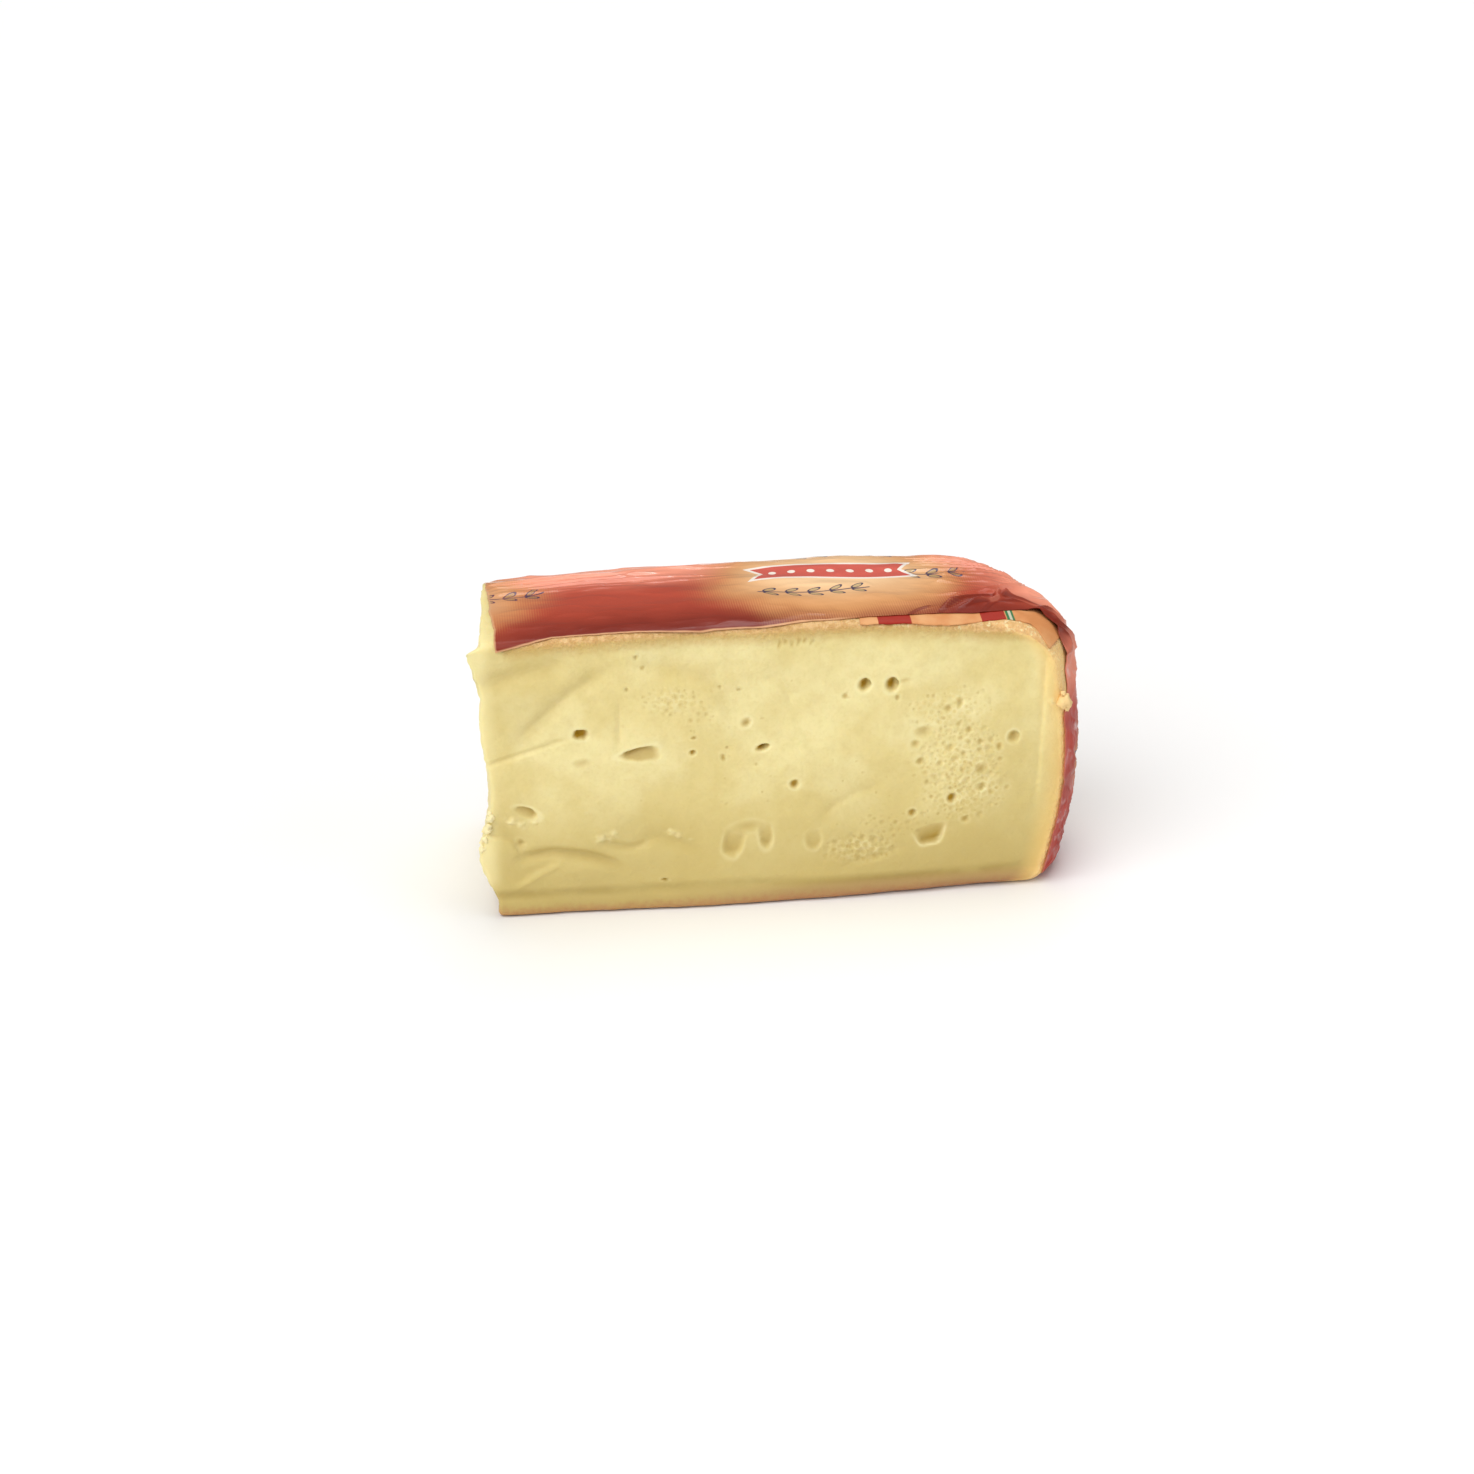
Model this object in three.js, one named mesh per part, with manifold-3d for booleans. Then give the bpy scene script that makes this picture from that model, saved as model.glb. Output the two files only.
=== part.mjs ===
// A slab of taleggio cut from the rounded end of a cheese and still in its printed film.
// Millimetres, +Z up. The long cut looks along -Y and the short cut along -X.
// The rind runs round the right end and along the back. The origin is under the middle of the base.
import * as THREE from 'three';
import { mergeVertices } from 'three/addons/utils/BufferGeometryUtils.js';
import Module from 'manifold-3d';

const wasm = await Module();
wasm.setup();

// Overall sizes, over the outside of the film
const LENGTH = 124;
const DEPTH = 48;
const HEIGHT = 59.4;

// Rounding of the rind sides
const RIM_FLARE = THREE.MathUtils.degToRad(42);
const SHOULDER = 8;
const FOOT = 5;
const BARREL = 2.2;
const END_RADIUS = DEPTH / (1 + Math.sin(RIM_FLARE));
const END_X = LENGTH / 2 - END_RADIUS;
const END_Y = DEPTH / 2 - END_RADIUS;

// The top is highest a little right of the middle, sinks towards both ends and droops at the front right
const CROWN = 3;
const CROWN_X = 12;
const CROWN_LEFT = 71;
const CROWN_RIGHT = 60;
const DROOP = 3.4;
const DROOP_X = [15, 50];
const DROOP_Y = [-20, -2];

// Thicknesses of the wrapping and the clearance under each layer
const GAP = 0.35;
const FILM = 0.6;
const LABEL = 0.5;

// How far each surface lies outside the driving sizes
const FILM_INSIDE = -FILM;
const CHEESE_OUTSIDE = FILM_INSIDE - GAP;
const LABEL_INSIDE = CHEESE_OUTSIDE + GAP;
const LABEL_OUTSIDE = LABEL_INSIDE + LABEL;
const FILM_LIFT = LABEL_OUTSIDE + GAP - FILM_INSIDE;
const OVERRUN = 4;
const FRONT_OVERRUN = 1;

// The long cut: it leans back and its ends lie back, a groove runs above the base, and the paste ripples
const FRONT_LEAN = 2;
const FRONT_SAG = 1.3;
const FRONT_SAG_X = -10;
const GROOVE_DEPTH = 0.8;
const GROOVE_Z = 5;
const GROOVE_REACH = 2.2;
const RIPPLE = 0.35;
const RIPPLE_X = 9;
const RIPPLE_Z = 7;
const FOLD_DEPTH = 0.9;
const FOLD_X = -53.5;
const FOLD_Z = 19;
const FOLD_REACH = 9;

// The short cut: it swells in the middle and carries a torn flap high at the front
const LEFT_SWELL = 2.8;
const LEFT_SWELL_TOP = 0.5;
const LEFT_BELLY = 1.2;
const LEFT_BELLY_Z = 18;
const LEFT_BELLY_REACH = 9;
const LEFT_INSET = 3.6;
const FLAP_OUT = 4.4;
const FLAP_Y = -20;
const FLAP_Z = 58.5;
const FLAP_REACH = 4.5;

// The film stops short of both cuts, further back over the label and high on the rim
const FILM_FRONT_TRIM = 0.3;
const FILM_LEFT_TRIM = 4.4;
const FILM_LEFT_SKEW = 1.2;
const FILM_EDGE_WAVE = 0.25;
const FILM_WAVE_ALONG = 4;
const FILM_WAVE_UP = 3;
const LABEL_SHOWN = 5.5;
const LABEL_SHOWN_X = 46;
const LABEL_SHOWN_REACH = 17;
const RIND_SHOWN = 3.6;
const RIND_SHOWN_Z = 45;
const RIND_SHOWN_REACH = 6;

// The label is a band under the film along the front of the top, turned down over the rim
const LABEL_X = 15.5;
const LABEL_SETBACK = 0.5;
const LABEL_WIDTH = 10;
const LABEL_END_Z = 51;
const LABEL_CLEAR = 5;
const LIFT_RAMP = 6;

// Facets along the length, from front to back and up the rind profile
const ALONG = 24;
const DEEP = 14;
const UP = 18;
const FOOT_SHARE = 3 / UP;
const SHOULDER_SHARE = 6 / UP;
const EYE_SIDES = 12;
const EYE_RINGS = 8;
const PORE_SIDES = 7;
const PORE_RINGS = 5;

// Larger eyes in the long cut: place, half width, half height and depth
const EYES = [
  { x: 14.3, z: 46.7, wide: 1.3, tall: 1.4, deep: 1.8 },
  { x: 19.7, z: 46.4, wide: 1.3, tall: 1.4, deep: 1.8 },
  { x: -6.0, z: 34.2, wide: 1.5, tall: 0.9, deep: 2.0 },
  { x: -42.1, z: 39.1, wide: 1.6, tall: 1.1, deep: 1.6 },
  { x: -30.7, z: 34.4, wide: 3.6, tall: 1.3, deep: 1.5 },
  { x: -9.4, z: 40.1, wide: 1.0, tall: 1.0, deep: 0.9 },
  { x: 0.5, z: 25.9, wide: 1.0, tall: 1.0, deep: 1.0 },
  { x: 45.0, z: 33.7, wide: 1.3, tall: 1.3, deep: 1.2 },
  { x: 26.9, z: 35.9, wide: 2.1, tall: 1.6, deep: 0.9 },
  { x: 28.9, z: 13.4, wide: 2.9, tall: 2.0, deep: 1.4 },
  { x: -4.9, z: 16.0, wide: 1.2, tall: 2.3, deep: 0.8 },
  { x: -11.4, z: 14.1, wide: 1.5, tall: 2.0, deep: 0.8 },
  { x: -53.4, z: 22.4, wide: 2.2, tall: 1.4, deep: 0.9 },
];

// Small pores gathered in the right half of the long cut
const PORES = 22;
const PORE_SEED = 7;
const PORE_X = 32.5;
const PORE_Z = 30;
const PORE_SPREAD_X = 13;
const PORE_SPREAD_Z = 14;
const PORE_SMALL = 0.45;
const PORE_LARGE = 0.95;

const MATERIALS = {
  cheese: new THREE.MeshStandardMaterial({ color: 0xe9db9c, roughness: 0.55, metalness: 0 }),
  film: new THREE.MeshStandardMaterial({ color: 0xb4452f, roughness: 0.3, metalness: 0 }),
  label: new THREE.MeshStandardMaterial({ color: 0xe0a068, roughness: 0.5, metalness: 0 }),
};

const mix = THREE.MathUtils.lerp;
const step = THREE.MathUtils.smoothstep;

// A rounded hill of height 1 that has fallen to a third at its reach
function bump(offset, reach) {
  return Math.exp(-((offset / reach) ** 2));
}

// Even draws between 0 and 1 that repeat for a seed
function drawer(seed) {
  let state = seed;
  const factor = 16807;
  const modulus = 2147483647;
  return () => {
    state = (state * factor) % modulus;
    return state / modulus;
  };
}

// Fall of the top towards the two ends and at the front right
function crown(x, y) {
  const reach = x < CROWN_X ? CROWN_LEFT : CROWN_RIGHT;
  const droop = DROOP * step(x, ...DROOP_X) * (1 - step(y, ...DROOP_Y));
  return -CROWN * ((x - CROWN_X) / reach) ** 2 - droop;
}

// Rind profile from base to top: inset from the widest line, and height
function profile(up, grow) {
  if (up < FOOT_SHARE) {
    const turn = (up / FOOT_SHARE) * (Math.PI / 2);
    const inset = BARREL + FOOT - (FOOT + grow) * Math.sin(turn);
    return { inset, z: FOOT - (FOOT + grow) * Math.cos(turn) };
  }
  if (up > 1 - SHOULDER_SHARE) {
    const turn = ((up - 1 + SHOULDER_SHARE) / SHOULDER_SHARE) * (Math.PI / 2);
    const inset = BARREL + SHOULDER - (SHOULDER + grow) * Math.cos(turn);
    return { inset, z: HEIGHT - SHOULDER + (SHOULDER + grow) * Math.sin(turn) };
  }
  const rise = (up - FOOT_SHARE) / (1 - FOOT_SHARE - SHOULDER_SHARE);
  const inset = BARREL * (1 - Math.sin(Math.PI * rise)) - grow;
  return { inset, z: mix(FOOT, HEIGHT - SHOULDER, rise) };
}

// Plane of the long cut, leaning back and bowed so that its two ends lie back
function frontPlane(x, z) {
  const bow = FRONT_SAG * ((x - FRONT_SAG_X) / LENGTH * 2) ** 2;
  return -DEPTH / 2 + FRONT_LEAN * (z / HEIGHT) + bow;
}

function cheeseFront(x, z) {
  const groove = GROOVE_DEPTH * bump(z - GROOVE_Z, GROOVE_REACH);
  const ripple = RIPPLE * (1 + Math.sin(x / RIPPLE_X) * Math.sin(z / RIPPLE_Z - x / (2 * RIPPLE_X)));
  const fold = FOLD_DEPTH * bump(x - FOLD_X, FOLD_REACH) * bump(z - FOLD_Z, FOLD_REACH / 2);
  return frontPlane(x, z) + groove + ripple + fold;
}

function cheeseLeft(y, z) {
  const middle = Math.sin(Math.PI * (y / DEPTH + 0.5));
  const fade = mix(1, LEFT_SWELL_TOP, step(z, HEIGHT - 2 * SHOULDER, HEIGHT));
  const belly = LEFT_BELLY * bump(z - LEFT_BELLY_Z, LEFT_BELLY_REACH);
  const flap = FLAP_OUT * bump(y - FLAP_Y, FLAP_REACH) * bump(z - FLAP_Z, FLAP_REACH);
  const out = (LEFT_SWELL * fade + belly) * Math.max(middle, 0) + flap;
  return -LENGTH / 2 + LEFT_INSET - out;
}

function filmFront(x, z) {
  const wave = FILM_EDGE_WAVE * (1 + Math.sin(x / FILM_WAVE_ALONG) * Math.cos(z / FILM_WAVE_UP));
  const high = step(z, HEIGHT - 2 * SHOULDER, HEIGHT - SHOULDER);
  const label = LABEL_SHOWN * bump(x - LABEL_SHOWN_X, LABEL_SHOWN_REACH) * high;
  const right = step(x, END_X, LENGTH / 2);
  const rind = RIND_SHOWN * bump(z - RIND_SHOWN_Z, RIND_SHOWN_REACH) * right;
  return frontPlane(x, z) + FILM_FRONT_TRIM + wave + label + rind;
}

function filmLeft(y, z) {
  const wave = FILM_EDGE_WAVE * Math.sin(y / FILM_WAVE_UP + z / FILM_WAVE_ALONG);
  return -LENGTH / 2 + FILM_LEFT_TRIM - FILM_LEFT_SKEW * (y / DEPTH) + wave;
}

// The film rises where the label lies under it
function filmLift(point) {
  const front = frontPlane(point.x, HEIGHT) + LABEL_WIDTH + LABEL_CLEAR;
  const along = step(point.x, LABEL_X - LABEL_CLEAR - LIFT_RAMP, LABEL_X - LABEL_CLEAR);
  const near = 1 - step(point.y, front, front + LIFT_RAMP);
  const high = step(point.z, LABEL_END_Z - LABEL_CLEAR - LIFT_RAMP, LABEL_END_Z - LABEL_CLEAR);
  return FILM_LIFT * along * near * high;
}

const flat = () => 0;
const pastFront = (x, z) => frontPlane(x, z) - FRONT_OVERRUN;
const pastLeft = () => -LENGTH / 2 - OVERRUN;

const SKINS = {
  cheese: { grow: CHEESE_OUTSIDE, front: cheeseFront, left: cheeseLeft, lift: flat },
  filmOutside: { grow: 0, front: filmFront, left: filmLeft, lift: filmLift },
  filmInside: { grow: FILM_INSIDE, front: pastFront, left: pastLeft, lift: filmLift },
  labelOutside: { grow: LABEL_OUTSIDE, front: frontPlane, left: pastLeft, lift: flat },
  labelInside: { grow: LABEL_INSIDE, front: pastFront, left: pastLeft, lift: flat },
};

// A point of the loaf, from left to rim, from front to back and from base to top
function loafPoint(along, deep, up, skin, grow) {
  const { inset, z } = profile(up, grow);
  const radius = END_RADIUS - inset;
  const guessX = mix(-LENGTH / 2, END_X + radius * Math.cos(RIM_FLARE), along);
  const first = Math.asin((skin.front(guessX, z) - END_Y) / radius);
  const turn = mix(first, Math.PI / 2, deep);
  const y = END_Y + radius * Math.sin(turn);
  const x = mix(skin.left(y, z), END_X + radius * Math.cos(turn), along);
  return new THREE.Vector3(x, y, z * (1 + crown(x, y) / HEIGHT));
}

function solid(geometry) {
  geometry.deleteAttribute('normal');
  geometry.deleteAttribute('uv');
  const merged = mergeVertices(geometry);
  const vertProperties = new Float32Array(merged.attributes.position.array);
  const triVerts = new Uint32Array(merged.index.array);
  return new wasm.Manifold(new wasm.Mesh({ numProp: 3, vertProperties, triVerts }));
}

function loaf(skin) {
  const box = new THREE.BoxGeometry(1, 1, 1, ALONG, DEEP, UP);
  const spots = box.attributes.position;
  for (let i = 0; i < spots.count; i += 1) {
    const share = [spots.getX(i) + 0.5, spots.getY(i) + 0.5, spots.getZ(i) + 0.5];
    const plain = loafPoint(...share, skin, skin.grow);
    const point = loafPoint(...share, skin, skin.grow + skin.lift(plain));
    spots.setXYZ(i, point.x, point.y, point.z);
  }
  return solid(box);
}

function hollow(eye, sides, rings) {
  const ball = new THREE.SphereGeometry(1, sides, rings);
  ball.scale(eye.wide, eye.deep, eye.tall);
  ball.translate(eye.x, cheeseFront(eye.x, eye.z), eye.z);
  return solid(ball);
}

function makeCheese() {
  let body = loaf(SKINS.cheese);
  for (const eye of EYES) {
    body = body.subtract(hollow(eye, EYE_SIDES, EYE_RINGS));
  }
  const draw = drawer(PORE_SEED);
  for (let i = 0; i < PORES; i += 1) {
    const turn = draw() * 2 * Math.PI;
    const reach = Math.sqrt(draw());
    const size = mix(PORE_SMALL, PORE_LARGE, draw() ** 2);
    const pore = {
      x: PORE_X + PORE_SPREAD_X * reach * Math.cos(turn),
      z: PORE_Z + PORE_SPREAD_Z * reach * Math.sin(turn),
      wide: size,
      tall: size,
      deep: size,
    };
    body = body.subtract(hollow(pore, PORE_SIDES, PORE_RINGS));
  }
  return body;
}

function makeFilm() {
  return loaf(SKINS.filmOutside).subtract(loaf(SKINS.filmInside));
}

function makeLabel() {
  const rightX = LENGTH / 2 + OVERRUN;
  const frontY = frontPlane(LABEL_X, HEIGHT) + LABEL_SETBACK;
  const frontRightY = frontPlane(LENGTH / 2, HEIGHT) + LABEL_SETBACK;
  const outline = new THREE.Shape();
  outline.moveTo(LABEL_X, frontY);
  outline.lineTo(rightX, frontRightY);
  outline.lineTo(rightX, frontRightY + LABEL_WIDTH);
  outline.lineTo(LABEL_X, frontY + LABEL_WIDTH);
  const patch = new THREE.ExtrudeGeometry(outline, { depth: HEIGHT, bevelEnabled: false });
  patch.translate(0, 0, LABEL_END_Z);
  const shell = loaf(SKINS.labelOutside).subtract(loaf(SKINS.labelInside));
  return shell.intersect(solid(patch));
}

function node(name, body) {
  const { vertProperties, triVerts } = body.getMesh();
  const geometry = new THREE.BufferGeometry();
  geometry.setAttribute('position', new THREE.BufferAttribute(new Float32Array(vertProperties), 3));
  geometry.setIndex(new THREE.BufferAttribute(new Uint32Array(triVerts), 1));
  geometry.computeVertexNormals();
  const mesh = new THREE.Mesh(geometry, MATERIALS[name]);
  mesh.name = name;
  return mesh;
}

// The origin goes to the middle of the base of everything together
function centre(group) {
  const box = new THREE.Box3().setFromObject(group);
  const middle = box.getCenter(new THREE.Vector3());
  for (const mesh of group.children) {
    mesh.geometry.translate(-middle.x, -middle.y, -box.min.z);
  }
  return group;
}

const taleggio = new THREE.Group();
taleggio.name = 'taleggio';
taleggio.add(node('cheese', makeCheese()));
taleggio.add(node('film', makeFilm()));
taleggio.add(node('label', makeLabel()));

export default centre(taleggio);
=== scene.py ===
"""Dresses the wrapped piece of taleggio: paste, film, label band and crumbs, in a plain pale studio."""

import functools
import itertools
import logging
import math
from collections.abc import Callable
from dataclasses import dataclass, field
from enum import Enum
from typing import Any, ClassVar

import bpy
import numpy as np
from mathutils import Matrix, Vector

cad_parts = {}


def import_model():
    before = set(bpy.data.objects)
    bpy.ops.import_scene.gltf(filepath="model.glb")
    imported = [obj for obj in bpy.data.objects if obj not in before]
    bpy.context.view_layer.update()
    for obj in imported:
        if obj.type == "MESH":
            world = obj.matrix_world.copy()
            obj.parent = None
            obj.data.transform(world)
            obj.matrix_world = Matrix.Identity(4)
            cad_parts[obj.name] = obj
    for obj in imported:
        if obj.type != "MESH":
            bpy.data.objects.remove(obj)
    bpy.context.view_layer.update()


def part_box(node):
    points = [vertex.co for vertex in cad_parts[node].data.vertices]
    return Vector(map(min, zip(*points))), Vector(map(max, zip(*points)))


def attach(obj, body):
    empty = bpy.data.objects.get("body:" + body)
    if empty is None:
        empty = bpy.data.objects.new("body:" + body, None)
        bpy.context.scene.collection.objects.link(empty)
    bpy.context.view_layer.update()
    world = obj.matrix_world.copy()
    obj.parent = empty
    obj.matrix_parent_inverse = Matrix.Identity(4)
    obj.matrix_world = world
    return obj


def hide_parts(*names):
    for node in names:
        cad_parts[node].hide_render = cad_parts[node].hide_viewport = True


LOG = logging.getLogger("taleggio")
MM = 0.001
TINY = 1e-6
GRADED_SPOTS = 2000
ROOT = "root"
Array = np.ndarray
Edge = Callable[[Array, Array], Array]
Spot = tuple[float, float]
Colour = tuple[float, float, float]


def linear(red: int, green: int, blue: int) -> Colour:
    """Turns a display colour into scene-linear light.

    Args:
        red: red from 0 to 255.
        green: green from 0 to 255.
        blue: blue from 0 to 255.

    Returns:
        The three linear values.
    """
    shares = [value / 255 for value in (red, green, blue)]
    return tuple(s / 12.92 if s <= 0.04045 else ((s + 0.055) / 1.055) ** 2.4 for s in shares)


def blend(low: Any, high: Any, share: Any) -> Any:
    """Goes from low to high by a share."""
    return low + (high - low) * share


def ease(value: Any, low: float, high: float) -> Array:
    """Rises smoothly from 0 at low to 1 at high."""
    share = np.clip((value - low) / (high - low), 0.0, 1.0)
    return share * share * (3.0 - 2.0 * share)


def hill(offset: Any, reach: float) -> Array:
    """A rounded hill of height 1 that has fallen to a third at its reach."""
    return np.exp(-np.square(offset / reach))


def graded(low: float, high: float, spacing: Callable[[Array], Array]) -> Array:
    """Steps from low to high whose length changes on the way.

    Args:
        low: first place.
        high: last place.
        spacing: the wanted step at each place.

    Returns:
        The places.
    """
    spots = np.linspace(low, high, GRADED_SPOTS)
    count = np.concatenate(([0.0], np.cumsum((spots[1] - spots[0]) / spacing(spots[1:]))))
    return np.interp(np.linspace(0.0, count[-1], int(count[-1]) + 1), count, spots)


class Noise:
    """Smooth seeded noise through space, about -1 to 1."""

    WAYS = 256
    GAIN = 1.6
    CREST = 2.2
    LAYER_SHIFT = 17.0

    def __init__(self, seed: int) -> None:
        """Draws the directions that the noise leans in.

        Args:
            seed: number that the draws start from.
        """
        draw = np.random.default_rng(seed)
        ways = draw.normal(size=(self.WAYS, 3))
        self.ways = ways / np.linalg.norm(ways, axis=1, keepdims=True)
        self.order = draw.permutation(self.WAYS)

    def at(self, x: Any, y: Any, z: Any = 0.0) -> Array:
        """Reads the noise.

        Args:
            x: first coordinate, one unit to a swell.
            y: second coordinate.
            z: third coordinate.

        Returns:
            One value a point.
        """
        spots = np.stack(np.broadcast_arrays(x, y, z), axis=-1).astype(float)
        cell = np.floor(spots).astype(int)
        part = spots - cell
        fade = part**3 * (part * (part * 6.0 - 15.0) + 10.0)
        total = np.zeros(spots.shape[:-1])
        for corner in itertools.product((0, 1), repeat=3):
            i, j, k = np.moveaxis(cell + np.array(corner), -1, 0)
            first = self.order[i % self.WAYS]
            second = self.order[(first + j) % self.WAYS]
            way = self.ways[self.order[(second + k) % self.WAYS]]
            weight = np.prod(np.where(np.array(corner) == 1, fade, 1.0 - fade), axis=-1)
            total += weight * np.sum((part - np.array(corner)) * way, axis=-1)
        return total * self.GAIN

    def layers(self, x: Any, y: Any, z: Any = 0.0, count: int = 3) -> Array:
        """Adds ever finer and fainter layers of the noise."""
        scales = ((2**i, self.LAYER_SHIFT * i) for i in range(count))
        return sum(self.at(x * scale, y * scale, z * scale + shift) / scale for scale, shift in scales)

    def ridge(self, x: Any, y: Any, z: Any = 0.0) -> Array:
        """Sharp crests of height 1 where the noise crosses zero."""
        return np.clip(1.0 - np.abs(self.at(x, y, z)) * self.CREST, 0.0, 1.0) ** 2


@dataclass(frozen=True)
class Waves:
    """A layer of uneven relief.

    Attributes:
        high: how far it stands out.
        long: how long its waves are, along and up.
        start: which part of the noise it takes.
        layers: how many ever finer layers it has.
    """

    high: float
    long: Spot
    start: float = 0.0
    layers: int = 1

    def at(self, noise: Noise, along: Array, up: Array) -> Array:
        """The relief at each point."""
        return self.high * noise.layers(along / self.long[0], up / self.long[1], self.start, self.layers)


def roughness(waves: tuple[Waves, ...], noise: Noise, along: Array, up: Array) -> Array:
    """All the layers of a relief together."""
    return sum(layer.at(noise, along, up) for layer in waves)


class Face(Enum):
    """Sides of the loaf that a layer may cover."""

    FRONT = "front"
    BACK = "back"
    LEFT = "left"
    RIM = "rim"
    TOP = "top"
    BASE = "base"


@dataclass
class Lattice:
    """A net of four-sided faces over some sides of a unit block.

    Attributes:
        along: shares from the left end to the rim.
        deep: shares from front to back.
        up: shares from base to top.
        faces: the sides that are covered.
    """

    along: Array
    deep: Array
    up: Array
    faces: tuple[Face, ...]

    def build(self) -> tuple[Array, Array, Array, Array]:
        """Numbers the points that are used and joins them.

        Returns:
            The shares along, deep and up of each point, and the faces.
        """
        size = (len(self.along), len(self.deep), len(self.up))
        grid = np.arange(np.prod(size)).reshape(size)
        sides = {
            Face.FRONT: grid[:, 0, :],
            Face.BACK: grid[:, -1, :].T,
            Face.LEFT: grid[0, :, :].T,
            Face.RIM: grid[-1, :, :],
            Face.TOP: grid[:, :, -1],
            Face.BASE: grid[:, :, 0].T,
        }
        nets = []
        for face in self.faces:
            net = sides[face]
            corners = (net[:-1, :-1], net[1:, :-1], net[1:, 1:], net[:-1, 1:])
            nets.append(np.stack(corners, axis=-1).reshape(-1, 4))
        used, quads = np.unique(np.concatenate(nets), return_inverse=True)
        i, j, k = np.unravel_index(used, size)
        return self.along[i], self.deep[j], self.up[k], quads.reshape(-1, 4)


@dataclass
class Net:
    """Points in millimetres, the faces that join them and what is known of each point."""

    points: Array
    faces: Array
    notes: dict[str, Array]

    def normals(self) -> Array:
        """Works out which way the points face.

        Returns:
            The outward direction at each point, of length 1.
        """
        a, b, c, d = (self.points[self.faces[:, i]] for i in range(4))
        facing = np.cross(c - a, d - b)
        total = np.zeros_like(self.points)
        for i in range(4):
            np.add.at(total, self.faces[:, i], facing)
        return total / np.maximum(np.linalg.norm(total, axis=1, keepdims=True), 1e-12)

    def thicken(self, thickness: float) -> "Net":
        """Closes a sheet into a thin solid.

        Args:
            thickness: how far the inside lies under the sheet.

        Returns:
            The closed net, whose notes hold "inside" as well.
        """
        count = len(self.points)
        inner = self.points - self.normals() * thickness
        starts = self.faces.ravel()
        ends = np.roll(self.faces, -1, axis=1).ravel()
        open_ended = ~np.isin(ends * count + starts, starts * count + ends)
        starts, ends = starts[open_ended], ends[open_ended]
        hem = np.stack((ends, starts, starts + count, ends + count), axis=1)
        notes = {name: np.concatenate((note, note)) for name, note in self.notes.items()}
        notes["inside"] = np.repeat((0.0, 1.0), count)
        faces = np.concatenate((self.faces, self.faces[:, ::-1] + count, hem))
        return Net(np.concatenate((self.points, inner)), faces, notes)


class Workshop:
    """Turns nets into Blender pieces."""

    SPARE_PULL = 10.0

    def __init__(self, shift: Spot) -> None:
        """Keeps where the loaf's own middle lies in the frame.

        Args:
            shift: the middle's place along and across, in millimetres.
        """
        self.shift = np.array((*shift, 0.0))

    def piece(self, name: str, net: Net, material: bpy.types.Material, spare: Array | None = None,
              keep: float = 1.0) -> bpy.types.Object:
        """Makes a piece that rides on the frame.

        Args:
            name: name of the piece.
            net: its points and faces.
            material: its finish.
            spare: 1 where the net may be thinned out, or None.
            keep: share of the triangles that is kept.

        Returns:
            The new object.
        """
        mesh = bpy.data.meshes.new(name)
        mesh.from_pydata(((net.points + self.shift) * MM).tolist(), [], net.faces.tolist())
        for title, note in net.notes.items():
            kind = "FLOAT_VECTOR" if note.ndim == 2 else "FLOAT"
            layer = mesh.attributes.new(title, kind, "POINT")
            layer.data.foreach_set("vector" if note.ndim == 2 else "value", note.astype(np.float32).ravel())
        mesh.materials.append(material)
        mesh.polygons.foreach_set("use_smooth", np.ones(len(mesh.polygons), dtype=bool))
        piece = bpy.data.objects.new(name, mesh)
        bpy.context.scene.collection.objects.link(piece)
        if spare is not None:
            self.thin_out(piece, spare, keep)
        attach(piece, ROOT)
        LOG.info("%s: %d faces", name, len(piece.data.polygons))
        return piece

    @staticmethod
    def thin_out(piece: bpy.types.Object, spare: Array, keep: float) -> None:
        """Merges faces where they are spare.

        Args:
            piece: the piece to thin out.
            spare: 1 at each point that may go.
            keep: share of the triangles that is kept.
        """
        group = piece.vertex_groups.new(name="spare")
        group.add(np.flatnonzero(spare > 0.5).tolist(), 1.0, "REPLACE")
        thinner = piece.modifiers.new("thinner", "DECIMATE")
        thinner.ratio = keep
        thinner.vertex_group = group.name
        thinner.vertex_group_factor = Workshop.SPARE_PULL
        graph = bpy.context.evaluated_depsgraph_get()
        mesh = bpy.data.meshes.new_from_object(piece.evaluated_get(graph), preserve_all_data_layers=True,
                                               depsgraph=graph)
        piece.modifiers.clear()
        piece.vertex_groups.clear()
        piece.data = mesh


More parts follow.
